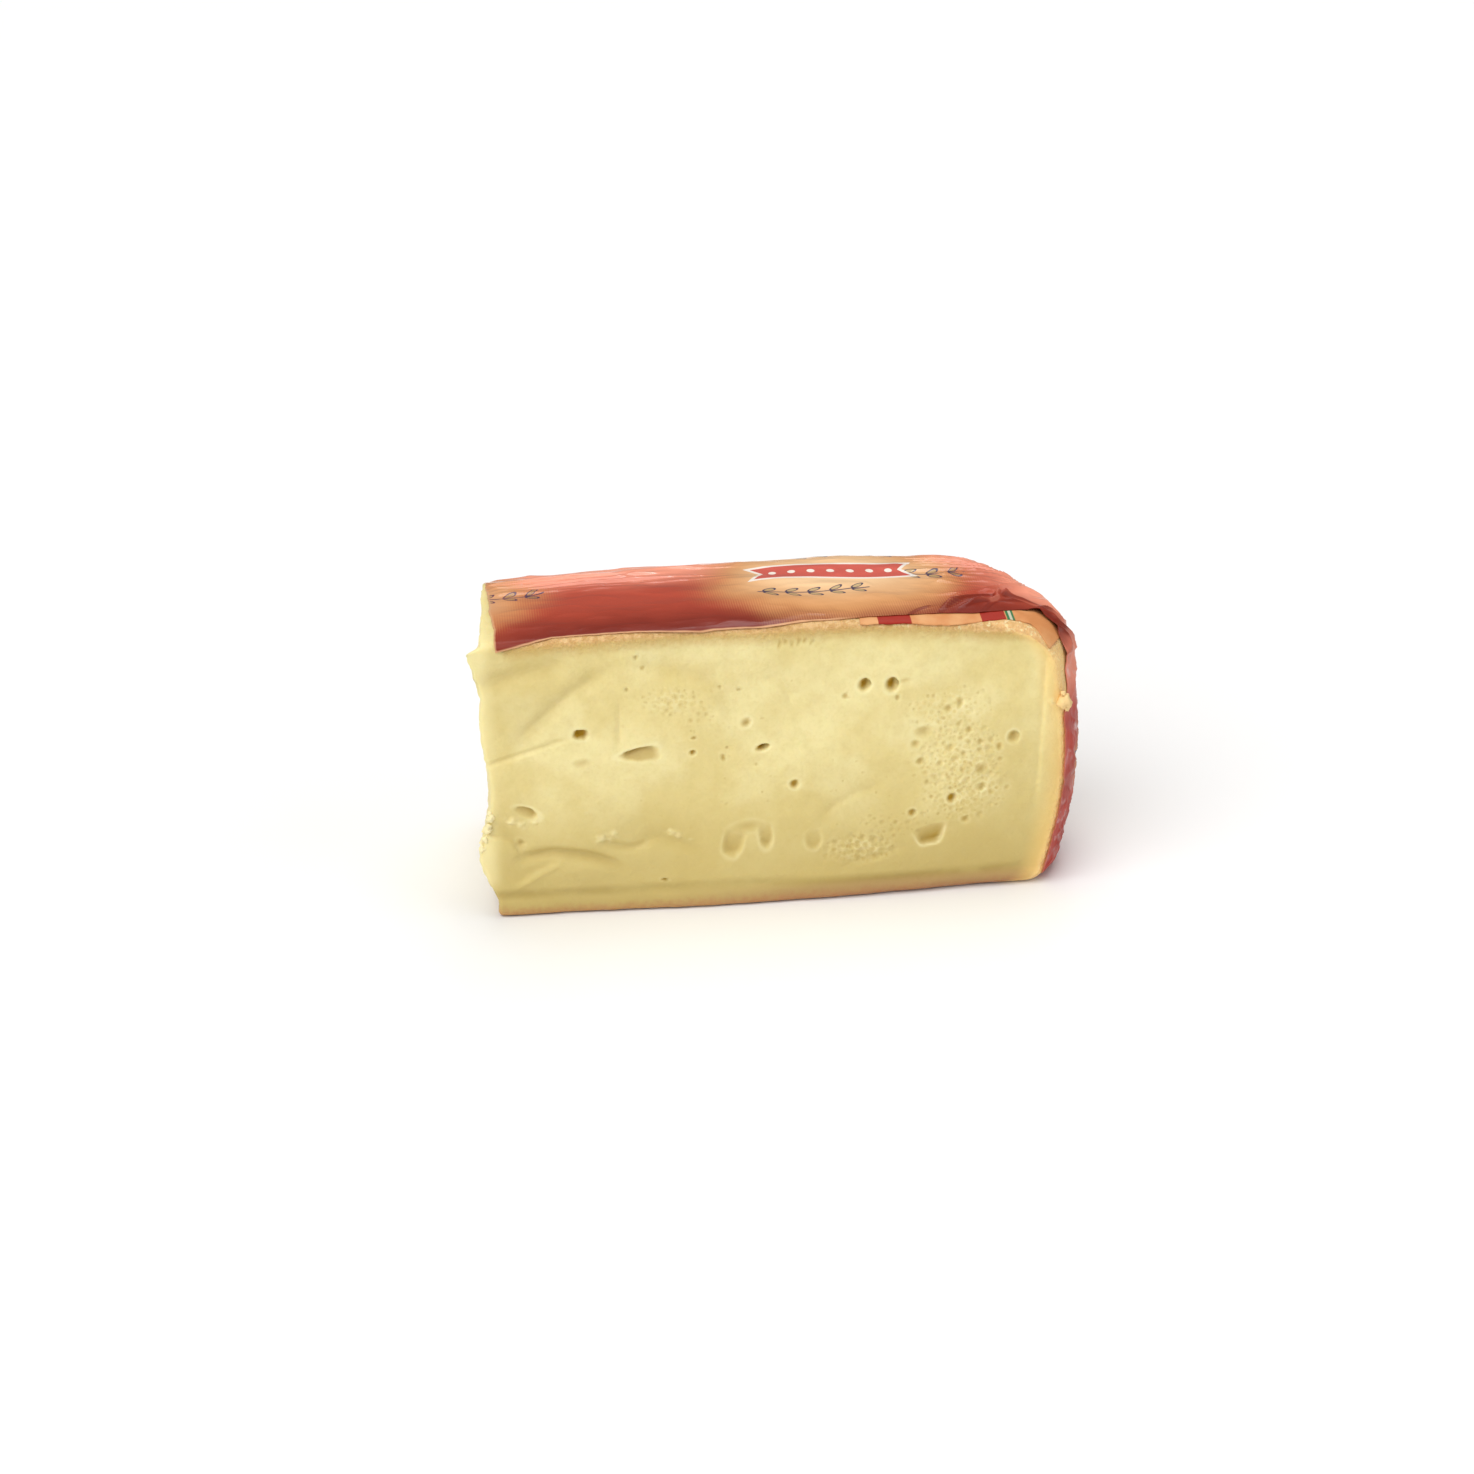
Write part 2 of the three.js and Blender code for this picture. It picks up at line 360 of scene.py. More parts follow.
@dataclass
class Loaf:
    """The form of the whole piece, in millimetres, that every layer follows.

    Attributes:
        left_swells: heights of the swellings of the short cut, their reach up and how far they stand out.
    """

    length: float = 124.0
    depth: float = 48.0
    height: float = 59.4
    rim_flare: float = math.radians(42.0)
    shoulder: float = 8.0
    foot: float = 5.0
    barrel: float = 2.2
    crown_fall: float = 3.0
    crown_x: float = 12.0
    crown_left: float = 90.0
    crown_right: float = 42.0
    end_fall: float = 3.0
    end_fall_x: Spot = (42.0, 64.0)
    droop: float = 1.4
    droop_x: Spot = (15.0, 50.0)
    droop_y: Spot = (-24.0, -13.0)
    dome: float = 1.0
    dome_reach: float = 2.5
    tilt: float = 0.8
    tilt_x: Spot = (-40.0, 20.0)
    front_lean: float = 2.0
    front_bow: float = 1.3
    front_bow_x: float = -10.0
    front_edge: float = 1.3
    left_inset: float = 1.0
    left_skew: float = 2.2
    left_toe: float = 1.6
    left_toe_z: Spot = (2.5, 9.0)
    left_swells: tuple[tuple[float, float, float], ...] = (
        (13.8, 5.2, 1.9),
        (28.0, 7.0, -0.9),
        (41.5, 7.0, 0.8),
    )
    left_swell_y: Spot = (-20.0, -8.0)
    foot_share: float = 1 / 6
    shoulder_share: float = 1 / 3

    @property
    def end_radius(self) -> float:
        """Radius of the rounded end in plan."""
        return self.depth / (1.0 + math.sin(self.rim_flare))

    @property
    def end_x(self) -> float:
        """Centre of the rounded end along the length."""
        return self.length / 2 - self.end_radius

    @property
    def end_y(self) -> float:
        """Centre of the rounded end across the depth."""
        return self.depth / 2 - self.end_radius

    def crown(self, x: Array, y: Array) -> Array:
        """Measures the top against its driving height: it falls to the ends and is domed across.

        Args:
            x: place along.
            y: place across.

        Returns:
            How far the top lies above that height.
        """
        reach = np.where(x < self.crown_x, self.crown_left, self.crown_right)
        bend = self.crown_fall * np.square((x - self.crown_x) / reach)
        fall = bend + self.end_fall * ease(x, *self.end_fall_x)
        droop = self.droop * ease(x, *self.droop_x) * (1.0 - ease(y, *self.droop_y))
        behind = np.maximum(y - self.front_plane(x, self.height), 0.0)
        dome = self.dome * (1.0 - np.exp(-behind / self.dome_reach))
        tilt = self.tilt * (1.0 - ease(x, *self.tilt_x)) * (-2.0 * y / self.depth)
        return dome + tilt - fall - droop

    def front_plane(self, x: Array, z: Array) -> Array:
        """The long cut, leaning back and bowed so that its two ends lie back."""
        bow = self.front_bow * np.square((x - self.front_bow_x) / self.length * 2)
        return -self.depth / 2 + self.front_lean * (z / self.height) + bow

    def left_plane(self, y: Array, z: Array) -> Array:
        """Finds the short cut, which toes in at the foot and goes back a little behind.

        Args:
            y: place across.
            z: height.

        Returns:
            Its place along.
        """
        toe = self.left_toe * (1.0 - ease(z, *self.left_toe_z))
        swells = sum(high * hill(z - at, reach) for at, reach, high in self.left_swells)
        behind = self.left_skew * (y / self.depth + 0.5)
        near = 1.0 - ease(y, *self.left_swell_y)
        return -self.length / 2 + self.left_inset + toe + behind - swells * near

    def top_edge(self, x: Array, grow: float) -> Array:
        """Height of the upper edge of the long cut."""
        crown = self.crown(x, self.front_plane(x, self.height))
        return (self.height + grow) * (1.0 + crown / self.height)

    def right_edge(self, x: Array, z: Array, grow: float) -> Array:
        """Finds where the long cut meets the rim.

        Args:
            x: place of each point along the cut.
            z: its height.
            grow: how far the layer lies outside the driving sizes.

        Returns:
            The rim's place along at each point's height.
        """
        plain = self.front_plane(x, z)
        level = z / (1.0 + self.crown(x, plain) / self.height)
        inset, _ = self.profile(self.share_up(level), grow)
        across = np.square(self.end_radius - inset) - np.square(plain - self.end_y)
        return self.end_x + np.sqrt(np.maximum(across, 0.0))

    def share_up(self, z: Array) -> Array:
        """Finds the share of the way up at which the driving rind has a height.

        Args:
            z: the height.

        Returns:
            The share, from 0 at the base to 1 at the top.
        """
        quarter = math.pi / 2
        top = self.height - self.shoulder
        foot = self.foot_share * np.arccos(np.clip(1.0 - z / self.foot, 0.0, 1.0)) / quarter
        lift = np.arcsin(np.clip((z - top) / self.shoulder, 0.0, 1.0)) / quarter
        shoulder = blend(1.0 - self.shoulder_share, 1.0, lift)
        wall = blend(self.foot_share, 1.0 - self.shoulder_share, (z - self.foot) / (top - self.foot))
        return np.select([z < self.foot, z > top], [foot, shoulder], wall)

    def profile(self, up: Array, grow: Array) -> tuple[Array, Array]:
        """Follows the rind from base to top.

        Args:
            up: share of the way up.
            grow: how far the layer lies outside the driving sizes.

        Returns:
            The inset from the widest line, and the height.
        """
        quarter = math.pi / 2
        low = np.clip(up / self.foot_share, 0.0, 1.0) * quarter
        high = np.clip((up - 1.0 + self.shoulder_share) / self.shoulder_share, 0.0, 1.0) * quarter
        rise = np.clip((up - self.foot_share) / (1.0 - self.foot_share - self.shoulder_share), 0.0, 1.0)
        wall = self.barrel * (1.0 - np.sin(math.pi * rise)) - grow
        wall_z = blend(self.foot, self.height - self.shoulder, rise)
        foot = self.barrel + self.foot - (self.foot + grow) * np.sin(low)
        foot_z = self.foot - (self.foot + grow) * np.cos(low)
        shoulder = self.barrel + self.shoulder - (self.shoulder + grow) * np.cos(high)
        shoulder_z = self.height - self.shoulder + (self.shoulder + grow) * np.sin(high)
        where = [up < self.foot_share, up > 1.0 - self.shoulder_share]
        return np.select(where, [foot, shoulder], wall), np.select(where, [foot_z, shoulder_z], wall_z)

    def place(self, along: Array, deep: Array, up: Array, grow: Any, front: Edge, left: Edge) -> Array:
        """Puts points of a unit block on the loaf.

        Args:
            along: share from the left end to the rim.
            deep: share from front to back.
            up: share from base to top.
            grow: how far the layer lies outside the driving sizes.
            front: where the layer starts at the front, for a place along and up.
            left: where the layer starts at the left, for a place across and up.

        Returns:
            The points.
        """
        inset, level = self.profile(up, grow)
        radius = self.end_radius - inset
        x = blend(-self.length / 2, self.end_x + radius * math.cos(self.rim_flare), along)
        plain = self.front_plane(x, level)
        reach = np.sqrt(np.maximum(np.square(radius) - np.square(plain - self.end_y), 0.0))
        x = blend(left(plain, level), self.end_x + reach, along)
        start = front(x, level * (1.0 + self.crown(x, plain) / self.height))
        first = np.arcsin(np.clip((start - self.end_y) / radius, -1.0, 1.0))
        turn = blend(first, math.pi / 2, deep)
        y = self.end_y + radius * np.sin(turn)
        x = blend(left(y, level), self.end_x + radius * np.cos(turn), along)
        z = level * (1.0 + self.crown(x, y) / self.height)
        return np.stack((x, y, z), axis=1)

    def drape(self, points: Array, top: Array) -> Array:
        """Bends what reaches past the rounded upper edge of the long cut down over it.

        Args:
            points: a sheet on the loaf.
            top: mask of its points on the top side.

        Returns:
            The bent sheet.
        """
        x, y, z = points.T
        start = self.front_plane(x, z) + self.front_edge
        past = np.where(top, np.maximum(start - y, 0.0), 0.0)
        turn = np.minimum(past / self.front_edge, math.pi / 2)
        below = past - turn * self.front_edge
        bent_y = np.where(past > 0.0, start - self.front_edge * np.sin(turn), y)
        return np.stack((x, bent_y, z - self.front_edge * (1.0 - np.cos(turn)) - below), axis=1)


class Value:
    """A shader socket that joins in arithmetic, each step of which adds a Math node."""

    def __init__(self, shader: "Shader", socket: bpy.types.NodeSocket) -> None:
        """Wraps a socket.

        Args:
            shader: the shader that it belongs to.
            socket: the output to work on.
        """
        self.shader = shader
        self.socket = socket

    def _step(self, operation: str, *others: Any) -> "Value":
        """Adds one Math node with this value first."""
        return self.shader.maths(operation, self, *others)

    def __add__(self, other: Any) -> "Value":
        """Adds."""
        return self._step("ADD", other)

    __radd__ = __add__

    def __sub__(self, other: Any) -> "Value":
        """Takes away."""
        return self._step("SUBTRACT", other)

    def __rsub__(self, other: Any) -> "Value":
        """Takes this away from a number."""
        return self.shader.maths("SUBTRACT", other, self)

    def __mul__(self, other: Any) -> "Value":
        """Multiplies."""
        return self._step("MULTIPLY", other)

    __rmul__ = __mul__

    def __truediv__(self, other: Any) -> "Value":
        """Divides."""
        return self._step("DIVIDE", other)

    def __pow__(self, other: Any) -> "Value":
        """Raises to a power."""
        return self._step("POWER", other)

    def __abs__(self) -> "Value":
        """Drops the sign."""
        return self._step("ABSOLUTE")

    def sine(self) -> "Value":
        """The sine of an angle in radians."""
        return self._step("SINE")

    def least(self, other: Any) -> "Value":
        """The smaller of two."""
        return self._step("MINIMUM", other)

    def most(self, other: Any) -> "Value":
        """The larger of two."""
        return self._step("MAXIMUM", other)

    def root(self) -> "Value":
        """The square root."""
        return self._step("SQRT")

    def wrap(self, period: float) -> "Value":
        """The distance from the middle of a repeat of that length."""
        return self._step("WRAP", period / 2, -period / 2)

    def rise(self, low: float, high: float) -> "Value":
        """Goes smoothly from 0 to 1.

        Args:
            low: where it is still 0.
            high: where it is already 1.

        Returns:
            The share.
        """
        settings = {"interpolation_type": "SMOOTHSTEP"}
        sockets = {"Value": self, "From Min": low, "From Max": high}
        return self.shader.value("ShaderNodeMapRange", settings, sockets, "Result")

    def fall(self, low: float, high: float) -> "Value":
        """Goes smoothly from 1 at low to 0 at high."""
        return 1.0 - self.rise(low, high)


class Shader:
    """A node material that ends in one Principled surface."""

    COLOUR_INPUTS = (6, 7)
    COLOUR_OUTPUT = 2

    def __init__(self, name: str) -> None:
        """Starts an empty material.

        Args:
            name: name of the material.
        """
        self.material = bpy.data.materials.new(name)
        self.material.use_nodes = True
        self.tree = self.material.node_tree
        self.tree.nodes.clear()
        self.surface = self.node("ShaderNodeBsdfPrincipled", {}, {})
        self.node("ShaderNodeOutputMaterial", {}, {"Surface": self.surface.outputs["BSDF"]})

    def node(self, kind: str, settings: dict[str, Any], sockets: dict[Any, Any]) -> bpy.types.Node:
        """Adds any node.

        Args:
            kind: the node's type.
            settings: its own settings, set first.
            sockets: values or links of its inputs, by name or number.

        Returns:
            The node.
        """
        node = self.tree.nodes.new(kind)
        for name, setting in settings.items():
            setattr(node, name, setting)
        for name, value in sockets.items():
            self.feed(node.inputs[name], value)
        return node

    def feed(self, socket: bpy.types.NodeSocket, value: Any) -> None:
        """Links a socket or sets its number or colour.

        Args:
            socket: the input.
            value: a wrapped or plain socket, a number or a colour.
        """
        if isinstance(value, Value):
            value = value.socket
        if isinstance(value, bpy.types.NodeSocket):
            self.tree.links.new(value, socket)
        elif socket.type == "RGBA" and len(value) == 3:
            socket.default_value = (*value, 1.0)
        else:
            socket.default_value = value

    def value(self, kind: str, settings: dict[str, Any], sockets: dict[Any, Any], output: Any = 0) -> Value:
        """Adds a node and wraps one of its outputs."""
        return Value(self, self.node(kind, settings, sockets).outputs[output])

    def maths(self, operation: str, *terms: Any) -> Value:
        """Adds a Math node on values or numbers."""
        return self.value("ShaderNodeMath", {"operation": operation}, dict(enumerate(terms)))

    def note(self, name: str) -> Value:
        """Reads a number that the mesh keeps at each point."""
        return self.value("ShaderNodeAttribute", {"attribute_name": name}, {}, "Fac")

    def place(self, name: str | None = None) -> tuple[Value, Value, Value, Any]:
        """Reads a place on the surface.

        Args:
            name: the mesh's own note that holds it, or None for the object's coordinates.

        Returns:
            Its three parts in millimetres, and the socket that they came from.
        """
        if name is None:
            source = self.node("ShaderNodeTexCoord", {}, {}).outputs["Object"]
            settings = {"operation": "SCALE"}
            scaled = self.node("ShaderNodeVectorMath", settings, {0: source, "Scale": 1.0 / MM})
            source = scaled.outputs["Vector"]
        else:
            source = self.node("ShaderNodeAttribute", {"attribute_name": name}, {}).outputs["Vector"]
        split = self.node("ShaderNodeSeparateXYZ", {}, {"Vector": source})
        return (*(Value(self, split.outputs[i]) for i in range(3)), source)

    def noise(self, where: Any, size: float, detail: float = 2.0) -> Value:
        """Soft noise whose swells are about that many millimetres across, from 0 to 1."""
        sockets = {"Vector": where, "Scale": 1.0 / size, "Detail": detail}
        return self.value("ShaderNodeTexNoise", {}, sockets, "Fac")

    def cells(self, where: Any, size: float) -> Value:
        """Distance to the nearest of seeds that lie about that many millimetres apart, in cells."""
        return self.value("ShaderNodeTexVoronoi", {}, {"Vector": where, "Scale": 1.0 / size}, "Distance")

    def mix(self, share: Any, low: Any, high: Any) -> Any:
        """Goes from one colour to another.

        Args:
            share: 0 for the first colour and 1 for the second.
            low: the first colour.
            high: the second colour.

        Returns:
            The socket of the mixed colour.
        """
        first, second = self.COLOUR_INPUTS
        sockets = {"Factor": share, first: low, second: high}
        return self.node("ShaderNodeMix", {"data_type": "RGBA"}, sockets).outputs[self.COLOUR_OUTPUT]

    def bump(self, height: Any, distance: float) -> Any:
        """Fine relief whose height of 1 stands that many millimetres proud."""
        sockets = {"Height": height, "Distance": distance * MM}
        return self.node("ShaderNodeBump", {}, sockets).outputs["Normal"]

    def dress(self, **sockets: Any) -> bpy.types.Material:
        """Feeds the surface.

        Args:
            sockets: values or links by the socket's name, with underscores for its spaces.

        Returns:
            The finished material.
        """
        for name, value in sockets.items():
            self.feed(self.surface.inputs[name.replace("_", " ")], value)
        return self.material


@dataclass(frozen=True)
class PasteFinish:
    """Soft pale paste that deepens towards the rind, moist and a little see-through, with painted shade
    towards the base, in some patches and in its hollows.
    """

    pale: Colour = linear(240, 226, 166)
    warm: Colour = linear(231, 213, 147)
    # Darker paste: random mottle, and painted shade towards the base and in some corners.
    low: Colour = linear(204, 182, 112)
    # Painted shade in the groove along the base and on the lower right.
    groove: Colour = linear(168, 142, 74)
    # Painted shade on the rounded toe.
    toe: Colour = linear(176, 140, 92)
    # Reddish hem at the base: partly rind, partly painted shadow at the floor.
    hem: Colour = linear(178, 104, 74)
    rim: Colour = linear(240, 202, 122)
    # Tan band under the film edge: partly the rind's own tan, partly painted shade.
    tan: Colour = linear(200, 160, 88)
    tan_rim: Colour = linear(248, 210, 140)
    rind: Colour = linear(206, 160, 102)
    rind_pale: Colour = linear(229, 188, 134)
    rind_rim: Colour = linear(232, 180, 118)
    # Painted shade in the eyes, pores and creases and at the sponge's cells.
    pit_shade: Colour = linear(170, 130, 10)
    # Painted highlight on the eyes' brinks and the sponge, which also makes the torn lumps paler.
    brink: Colour = linear(248, 238, 188)

    def fuzz(self, s: Shader, where: Any) -> Value:
        """Fine noise about zero that makes edges uneven."""
        return s.noise(where, 1.1, 4.0) - 0.5

    def body(self, s: Shader, x: Value, z: Value, where: Any) -> Any:
        """Mottles the paste, with painted shade towards the base and in some corners and painted light on
        the left end.

        Args:
            s: the paste's shader.
            x: place along.
            z: height.
            where: place for the noise.

        Returns:
            The colour.
        """
        drift = s.noise(where, 13.0, 3.0).rise(0.38, 0.62)
        colour = s.mix(drift, self.pale, self.warm)
        # Painted shade: darker towards the base.
        colour = s.mix(z.fall(3.0, 38.0) * 0.85, colour, self.low)
        patches = s.noise(where, 2.6, 3.0).rise(0.35, 0.75)
        specks = s.noise(where, 0.7).rise(0.45, 0.7)
        colour = s.mix(patches * 0.18 + specks * 0.09, colour, self.low)
        # Painted shade in three patches: upper left, lower right and lower left.
        upper_left_shade = x.fall(-56.0, -36.0) * z.rise(34.0, 46.0)
        lower_right_shade = x.rise(30.0, 42.0) * x.fall(47.0, 55.0) * z.fall(30.0, 48.0)
        lower_left_shade = x.fall(-28.0, -10.0) * z.fall(15.0, 27.0)
        colour = s.mix(upper_left_shade.most(lower_right_shade).most(lower_left_shade) * 0.35, colour, self.low)
        # Painted light: the left end is made paler above the foot.
        lit_left_end = x.fall(-61.0, -57.0) * z.rise(5.0, 9.0)
        return s.mix(lit_left_end * 0.9, colour, self.pale)

    def foot(self, s: Shader, x: Value, z: Value, where: Any, colour: Any) -> Any:
        """Lays painted shade along the base: a darker right foot, a wavy dark line in the groove and a
        darker toe, then the reddish hem, partly rind and partly painted shadow.

        Args:
            s: the paste's shader.
            x: place along.
            z: height.
            where: place for the noise.
            colour: the paste so far.

        Returns:
            The colour.
        """
        # Painted shade on the lower right foot.
        right_foot_shade = x.rise(-10.0, 30.0) * z.fall(4.0, 22.0)
        colour = s.mix(right_foot_shade * 0.22, colour, self.groove)
        # Painted shade: a wavy dark line in the groove, and darker right at the bottom.
        wavy = s.noise(where, 9.0).rise(0.2, 0.55)
        level = z + 0.8 * x.rise(-20.0, 20.0)
        line = level.rise(3.4, 4.8) * level.fall(5.0, 6.8) * wavy * x.fall(40.0, 52.0)
        strong = 0.5 - 0.2 * x.rise(-40.0, -25.0) + 0.3 * x.rise(-5.0, 15.0)
        colour = s.mix(line * strong + 0.3 * z.fall(2.0, 6.0), colour, self.groove)
        # Painted shade on the rounded toe.
        shaded_toe = z.fall(2.4, 5.0) * x.rise(-40.0, 20.0)
        colour = s.mix(shaded_toe * 0.85, colour, self.toe)
        # The reddish hem: partly rind, partly painted shadow at the floor.
        hem = (z + 2.0 * self.fuzz(s, where)).fall(0.4, 3.0)
        return s.mix(hem * 0.55, colour, self.hem)

    def edges(self, s: Shader, x: Value, z: Value, where: Any, colour: Any) -> Any:
        """Warms the paste towards the rim and lays the tan rind along the upper edge and the rim, its tan
        band partly the rind's own colour and partly painted shade under the film edge.

        Args:
            s: the paste's shader.
            x: place along.
            z: height.
            where: place for the noise.
            colour: the paste so far.

        Returns:
            The colour.
        """
        brim = self.brim(s, where)
        near_rim = s.note("rim").fall(0.5, 5.0)
        colour = s.mix(s.note("rim").fall(0.3, 6.0) * 0.7, colour, self.rim)
        # The tan band: partly the rind's own tan, partly painted shade under the film edge.
        colour = s.mix(brim.fall(0.0, 1.0) * 0.9, colour, s.mix(near_rim, self.tan, self.tan_rim))
        rind = s.mix(s.noise(where, 1.2, 4.0).rise(0.4, 0.62), self.rind, self.rind_pale)
        rind = s.mix(near_rim * 0.5, rind, self.rind_rim)
        flakes = s.noise(where, 0.9, 4.0).rise(0.54, 0.64) * x.rise(8.0, 20.0)
        rind = s.mix(flakes * 0.6, rind, self.brink)
        right_side = x.rise(48.0, 53.0) * z.fall(49.0, 54.0)
        rind = s.mix(right_side * 0.75, rind, self.tan_rim)
        return s.mix(brim.fall(0.0, 0.3) * 0.85, colour, rind)

    def brim(self, s: Shader, where: Any) -> Value:
        """How far in from the rind a point lies, made uneven: 0 at the rind, 1 in clear paste."""
        return s.note("brim") + 0.4 * self.fuzz(s, where)

    def material(self) -> bpy.types.Material:
        """Builds the paste's nodes.

        Returns:
            The material.
        """
        s = Shader("paste")
        x, _, z, where = s.place()
        colour = self.body(s, x, z, where)
        colour = self.foot(s, x, z, where, colour)
        colour = self.edges(s, x, z, where, colour)
        sponge = s.note("sponge")
        cell = s.cells(where, 0.95)
        # Painted highlight between the sponge's cells and painted shade at their middles.
        colour = s.mix(cell.rise(0.42, 0.75) * sponge * 0.4, colour, self.brink)
        colour = s.mix(cell.fall(0.08, 0.32) * sponge * 0.25, colour, self.pit_shade)
        # Painted highlight on the eyes' brinks and the paler torn lumps, then painted shade in the eyes and
        # creases.
        colour = s.mix(s.note("brink"), colour, self.brink)
        colour = s.mix(s.note("shade"), colour, self.pit_shade)
        grain = s.noise(where, 0.9, 3.0)
        fluff = s.noise(where, 0.5, 3.0) * self.brim(s, where).fall(0.1, 0.9)
        normal = s.bump(grain * 0.85 + cell * sponge * 0.8 + fluff * 2.4, 0.16)
        return s.dress(Base_Color=colour, Roughness=0.42 + 0.2 * grain, Normal=normal, IOR=1.42,
                       Subsurface_Weight=0.25, Subsurface_Radius=(1.0, 0.72, 0.35),
                       Subsurface_Scale=2.0 * MM, Specular_IOR_Level=0.4)


@dataclass(frozen=True)
class FilmFinish:
    """Printed film: a red ground with soft tan glows, leafy sprigs and a screen of fine dots, under painted
    shade at the front and in fold flanks and a painted sheen towards the back.

    Attributes:
        sprigs: places of the stems along and across from a glow's middle, their curl and half their length.
    """

    # Painted shade: the red at the front of the top and in fold flanks.
    red_shade: Colour = linear(114, 31, 16)
    red: Colour = linear(178, 70, 48)
    # Painted sheen: the red towards the back, at the right end, under the shoulder and on fold crests.
    red_sheen: Colour = linear(255, 170, 140)
    tan: Colour = linear(211, 149, 93)
    red_wall: Colour = linear(162, 38, 16)
    # Paler tan at the glows' middles, with a painted sheen towards the back.
    tan_bright: Colour = linear(252, 210, 160)
    ribbon: Colour = linear(206, 74, 56)
    white: Colour = linear(246, 238, 228)
    navy: Colour = linear(36, 36, 80)
    green: Colour = linear(62, 118, 74)
    # Pale film edge: its own cut edge at the left, and painted light over the shaded edge on the wall.
    edge: Colour = linear(226, 174, 128)
    repeat: float = 87.0
    first: Spot = (12.0, 3.0)
    first_wall: Spot = (36.0, 32.0)
    glow: Spot = (32.0, 27.0)
    screen: float = 0.7
    sprigs: tuple[tuple[float, float, float, float], ...] = (
        (-5.0, -8.0, 0.012, 11.2),
        (4.0, 15.0, -0.008, 11.2),
        (21.0, 0.5, 0.03, 6.7),
    )
    stem_line: Spot = (0.14, 0.3)
    leaf: Spot = (1.75, 0.72)
    leaf_off: float = 1.35
    leaf_pitch: float = 4.5
    leaf_lean: float = 0.62
    banner_size: Spot = (14.0, 3.4)
    banner_up: float = 3.5
    banner_wave: Spot = (0.9, 0.2)
    banner_pitch: float = 4.0
    banner_dot: Spot = (0.7, 0.9)
    banner_border: float = 0.7
    banner_fork: float = 0.7
    blur: float = 0.1

    def sprig(self, u: Value, v: Value, curl: float, reach: float) -> tuple[Value, Value]:
        """Draws a leafy stem.

        Args:
            u: place along from the stem's middle.
            v: place across from the stem's middle.
            curl: how strongly the stem bends.
            reach: half the stem's length.

        Returns:
            Masks of the outlines and of the filled leaves.
        """
        bend = v - curl * u * u
        ends = abs(u).fall(reach, reach + 0.5)
        stem = abs(bend).fall(*self.stem_line)
        step = u.wrap(self.leaf_pitch)
        ahead, aside = math.cos(self.leaf_lean), math.sin(self.leaf_lean)
        sides = []
        for side in (-1.0, 1.0):
            across = bend * side - self.leaf_off
            a = step * ahead + across * aside
            b = across * ahead - step * aside
            sides.append(((a / self.leaf[0]) ** 2.0 + (b / self.leaf[1]) ** 2.0).root())
        leaf = functools.reduce(Value.least, sides)
        outline = abs(leaf - 0.86).fall(0.1, 0.2)
        return stem.most(outline) * ends, leaf.fall(0.72, 0.82) * ends

    def banner(self, u: Value, v: Value) -> tuple[Value, Value]:
        """Draws a waved ribbon with forked ends.

        Args:
            u: place along from the ribbon's middle.
            v: place across from the ribbon's middle.

        Returns:
            Masks of the ribbon with its dots left out, and of the ribbon with its border.
        """
        reach, half = self.banner_size
        wave, turn = self.banner_wave
        blur, border = self.blur, self.banner_border
        bend = v + wave * (u * turn).sine()
        across = abs(bend)
        along = abs(u) - self.banner_fork * across
        dots = (u.wrap(self.banner_pitch) ** 2.0 + bend ** 2.0).root().fall(*self.banner_dot)
        inner = across.fall(half - blur, half) * along.fall(reach - blur, reach)
        outer = across.fall(half + border, half + border + blur)
        outer = outer * along.fall(reach + border + blur, reach + border + 2.0 * blur)
        return inner * (1.0 - dots), outer

    def printed(self, s: Shader, far: Value, v: Value, where: Any, ground: Any) -> Any:
        """Prints the glows of the repeat and their motifs, with a ribbon on every other one.

        Args:
            s: the film's shader.
            far: place along from the first glow's middle.
            v: place across from the glow's middle.
            where: place for the noise.
            ground: colour to print on.

        Returns:
            The printed colour.
        """
        u = far.wrap(self.repeat)
        away = ((u / self.glow[0]) ** 2.0 + (v / self.glow[1]) ** 2.0).root()
        glow = away + 0.3 * (s.noise(where, 14.0) - 0.5)
        turn = 2.0 * math.pi / self.screen * math.sqrt(0.5)
        dots = ((u + v) * turn).sine() * ((u - v) * turn).sine()
        tan = (glow + dots * 0.08).fall(0.6, 1.0)
        # The paper is paler at the glow's middle, and towards the back where a painted sheen lies.
        paper = s.mix(glow.fall(0.2, 0.8) * v.rise(-24.0, 2.0), self.tan, self.tan_bright)
        colour = s.mix(tan, ground, paper)
        drawn = [self.sprig(u - along, v - across, curl, reach)
                 for along, across, curl, reach in self.sprigs]
        lines, leaves = (functools.reduce(Value.most, masks) for masks in zip(*drawn))
        ribbon, border = self.banner(far.wrap(2.0 * self.repeat), v - self.banner_up)
        colour = s.mix(leaves * 0.35, colour, self.green)
        colour = s.mix(lines * 0.95, colour, self.navy)
        colour = s.mix(border * 0.9, colour, self.white)
        return s.mix(ribbon * 0.95, colour, self.ribbon)

    def ground(self, s: Shader, u: Value, v: Value, where: Any) -> Any:
        """Lays the red of the top, with painted shade that deepens it at the front and a painted sheen that
        makes it paler towards the back and the right end.

        Args:
            s: the film's shader.
            u: place along.
            v: place across.
            where: place for the noise.

        Returns:
            The colour.
        """
        drifted = v + 9.0 * (s.noise(where, 12.0, 3.0) - 0.5)
        # Painted shade at the front and painted sheen towards the back.
        colour = s.mix(drifted.rise(-24.0, -2.0), self.red_shade, self.red)
        colour = s.mix(drifted.rise(0.0, 22.0), colour, self.red_sheen)
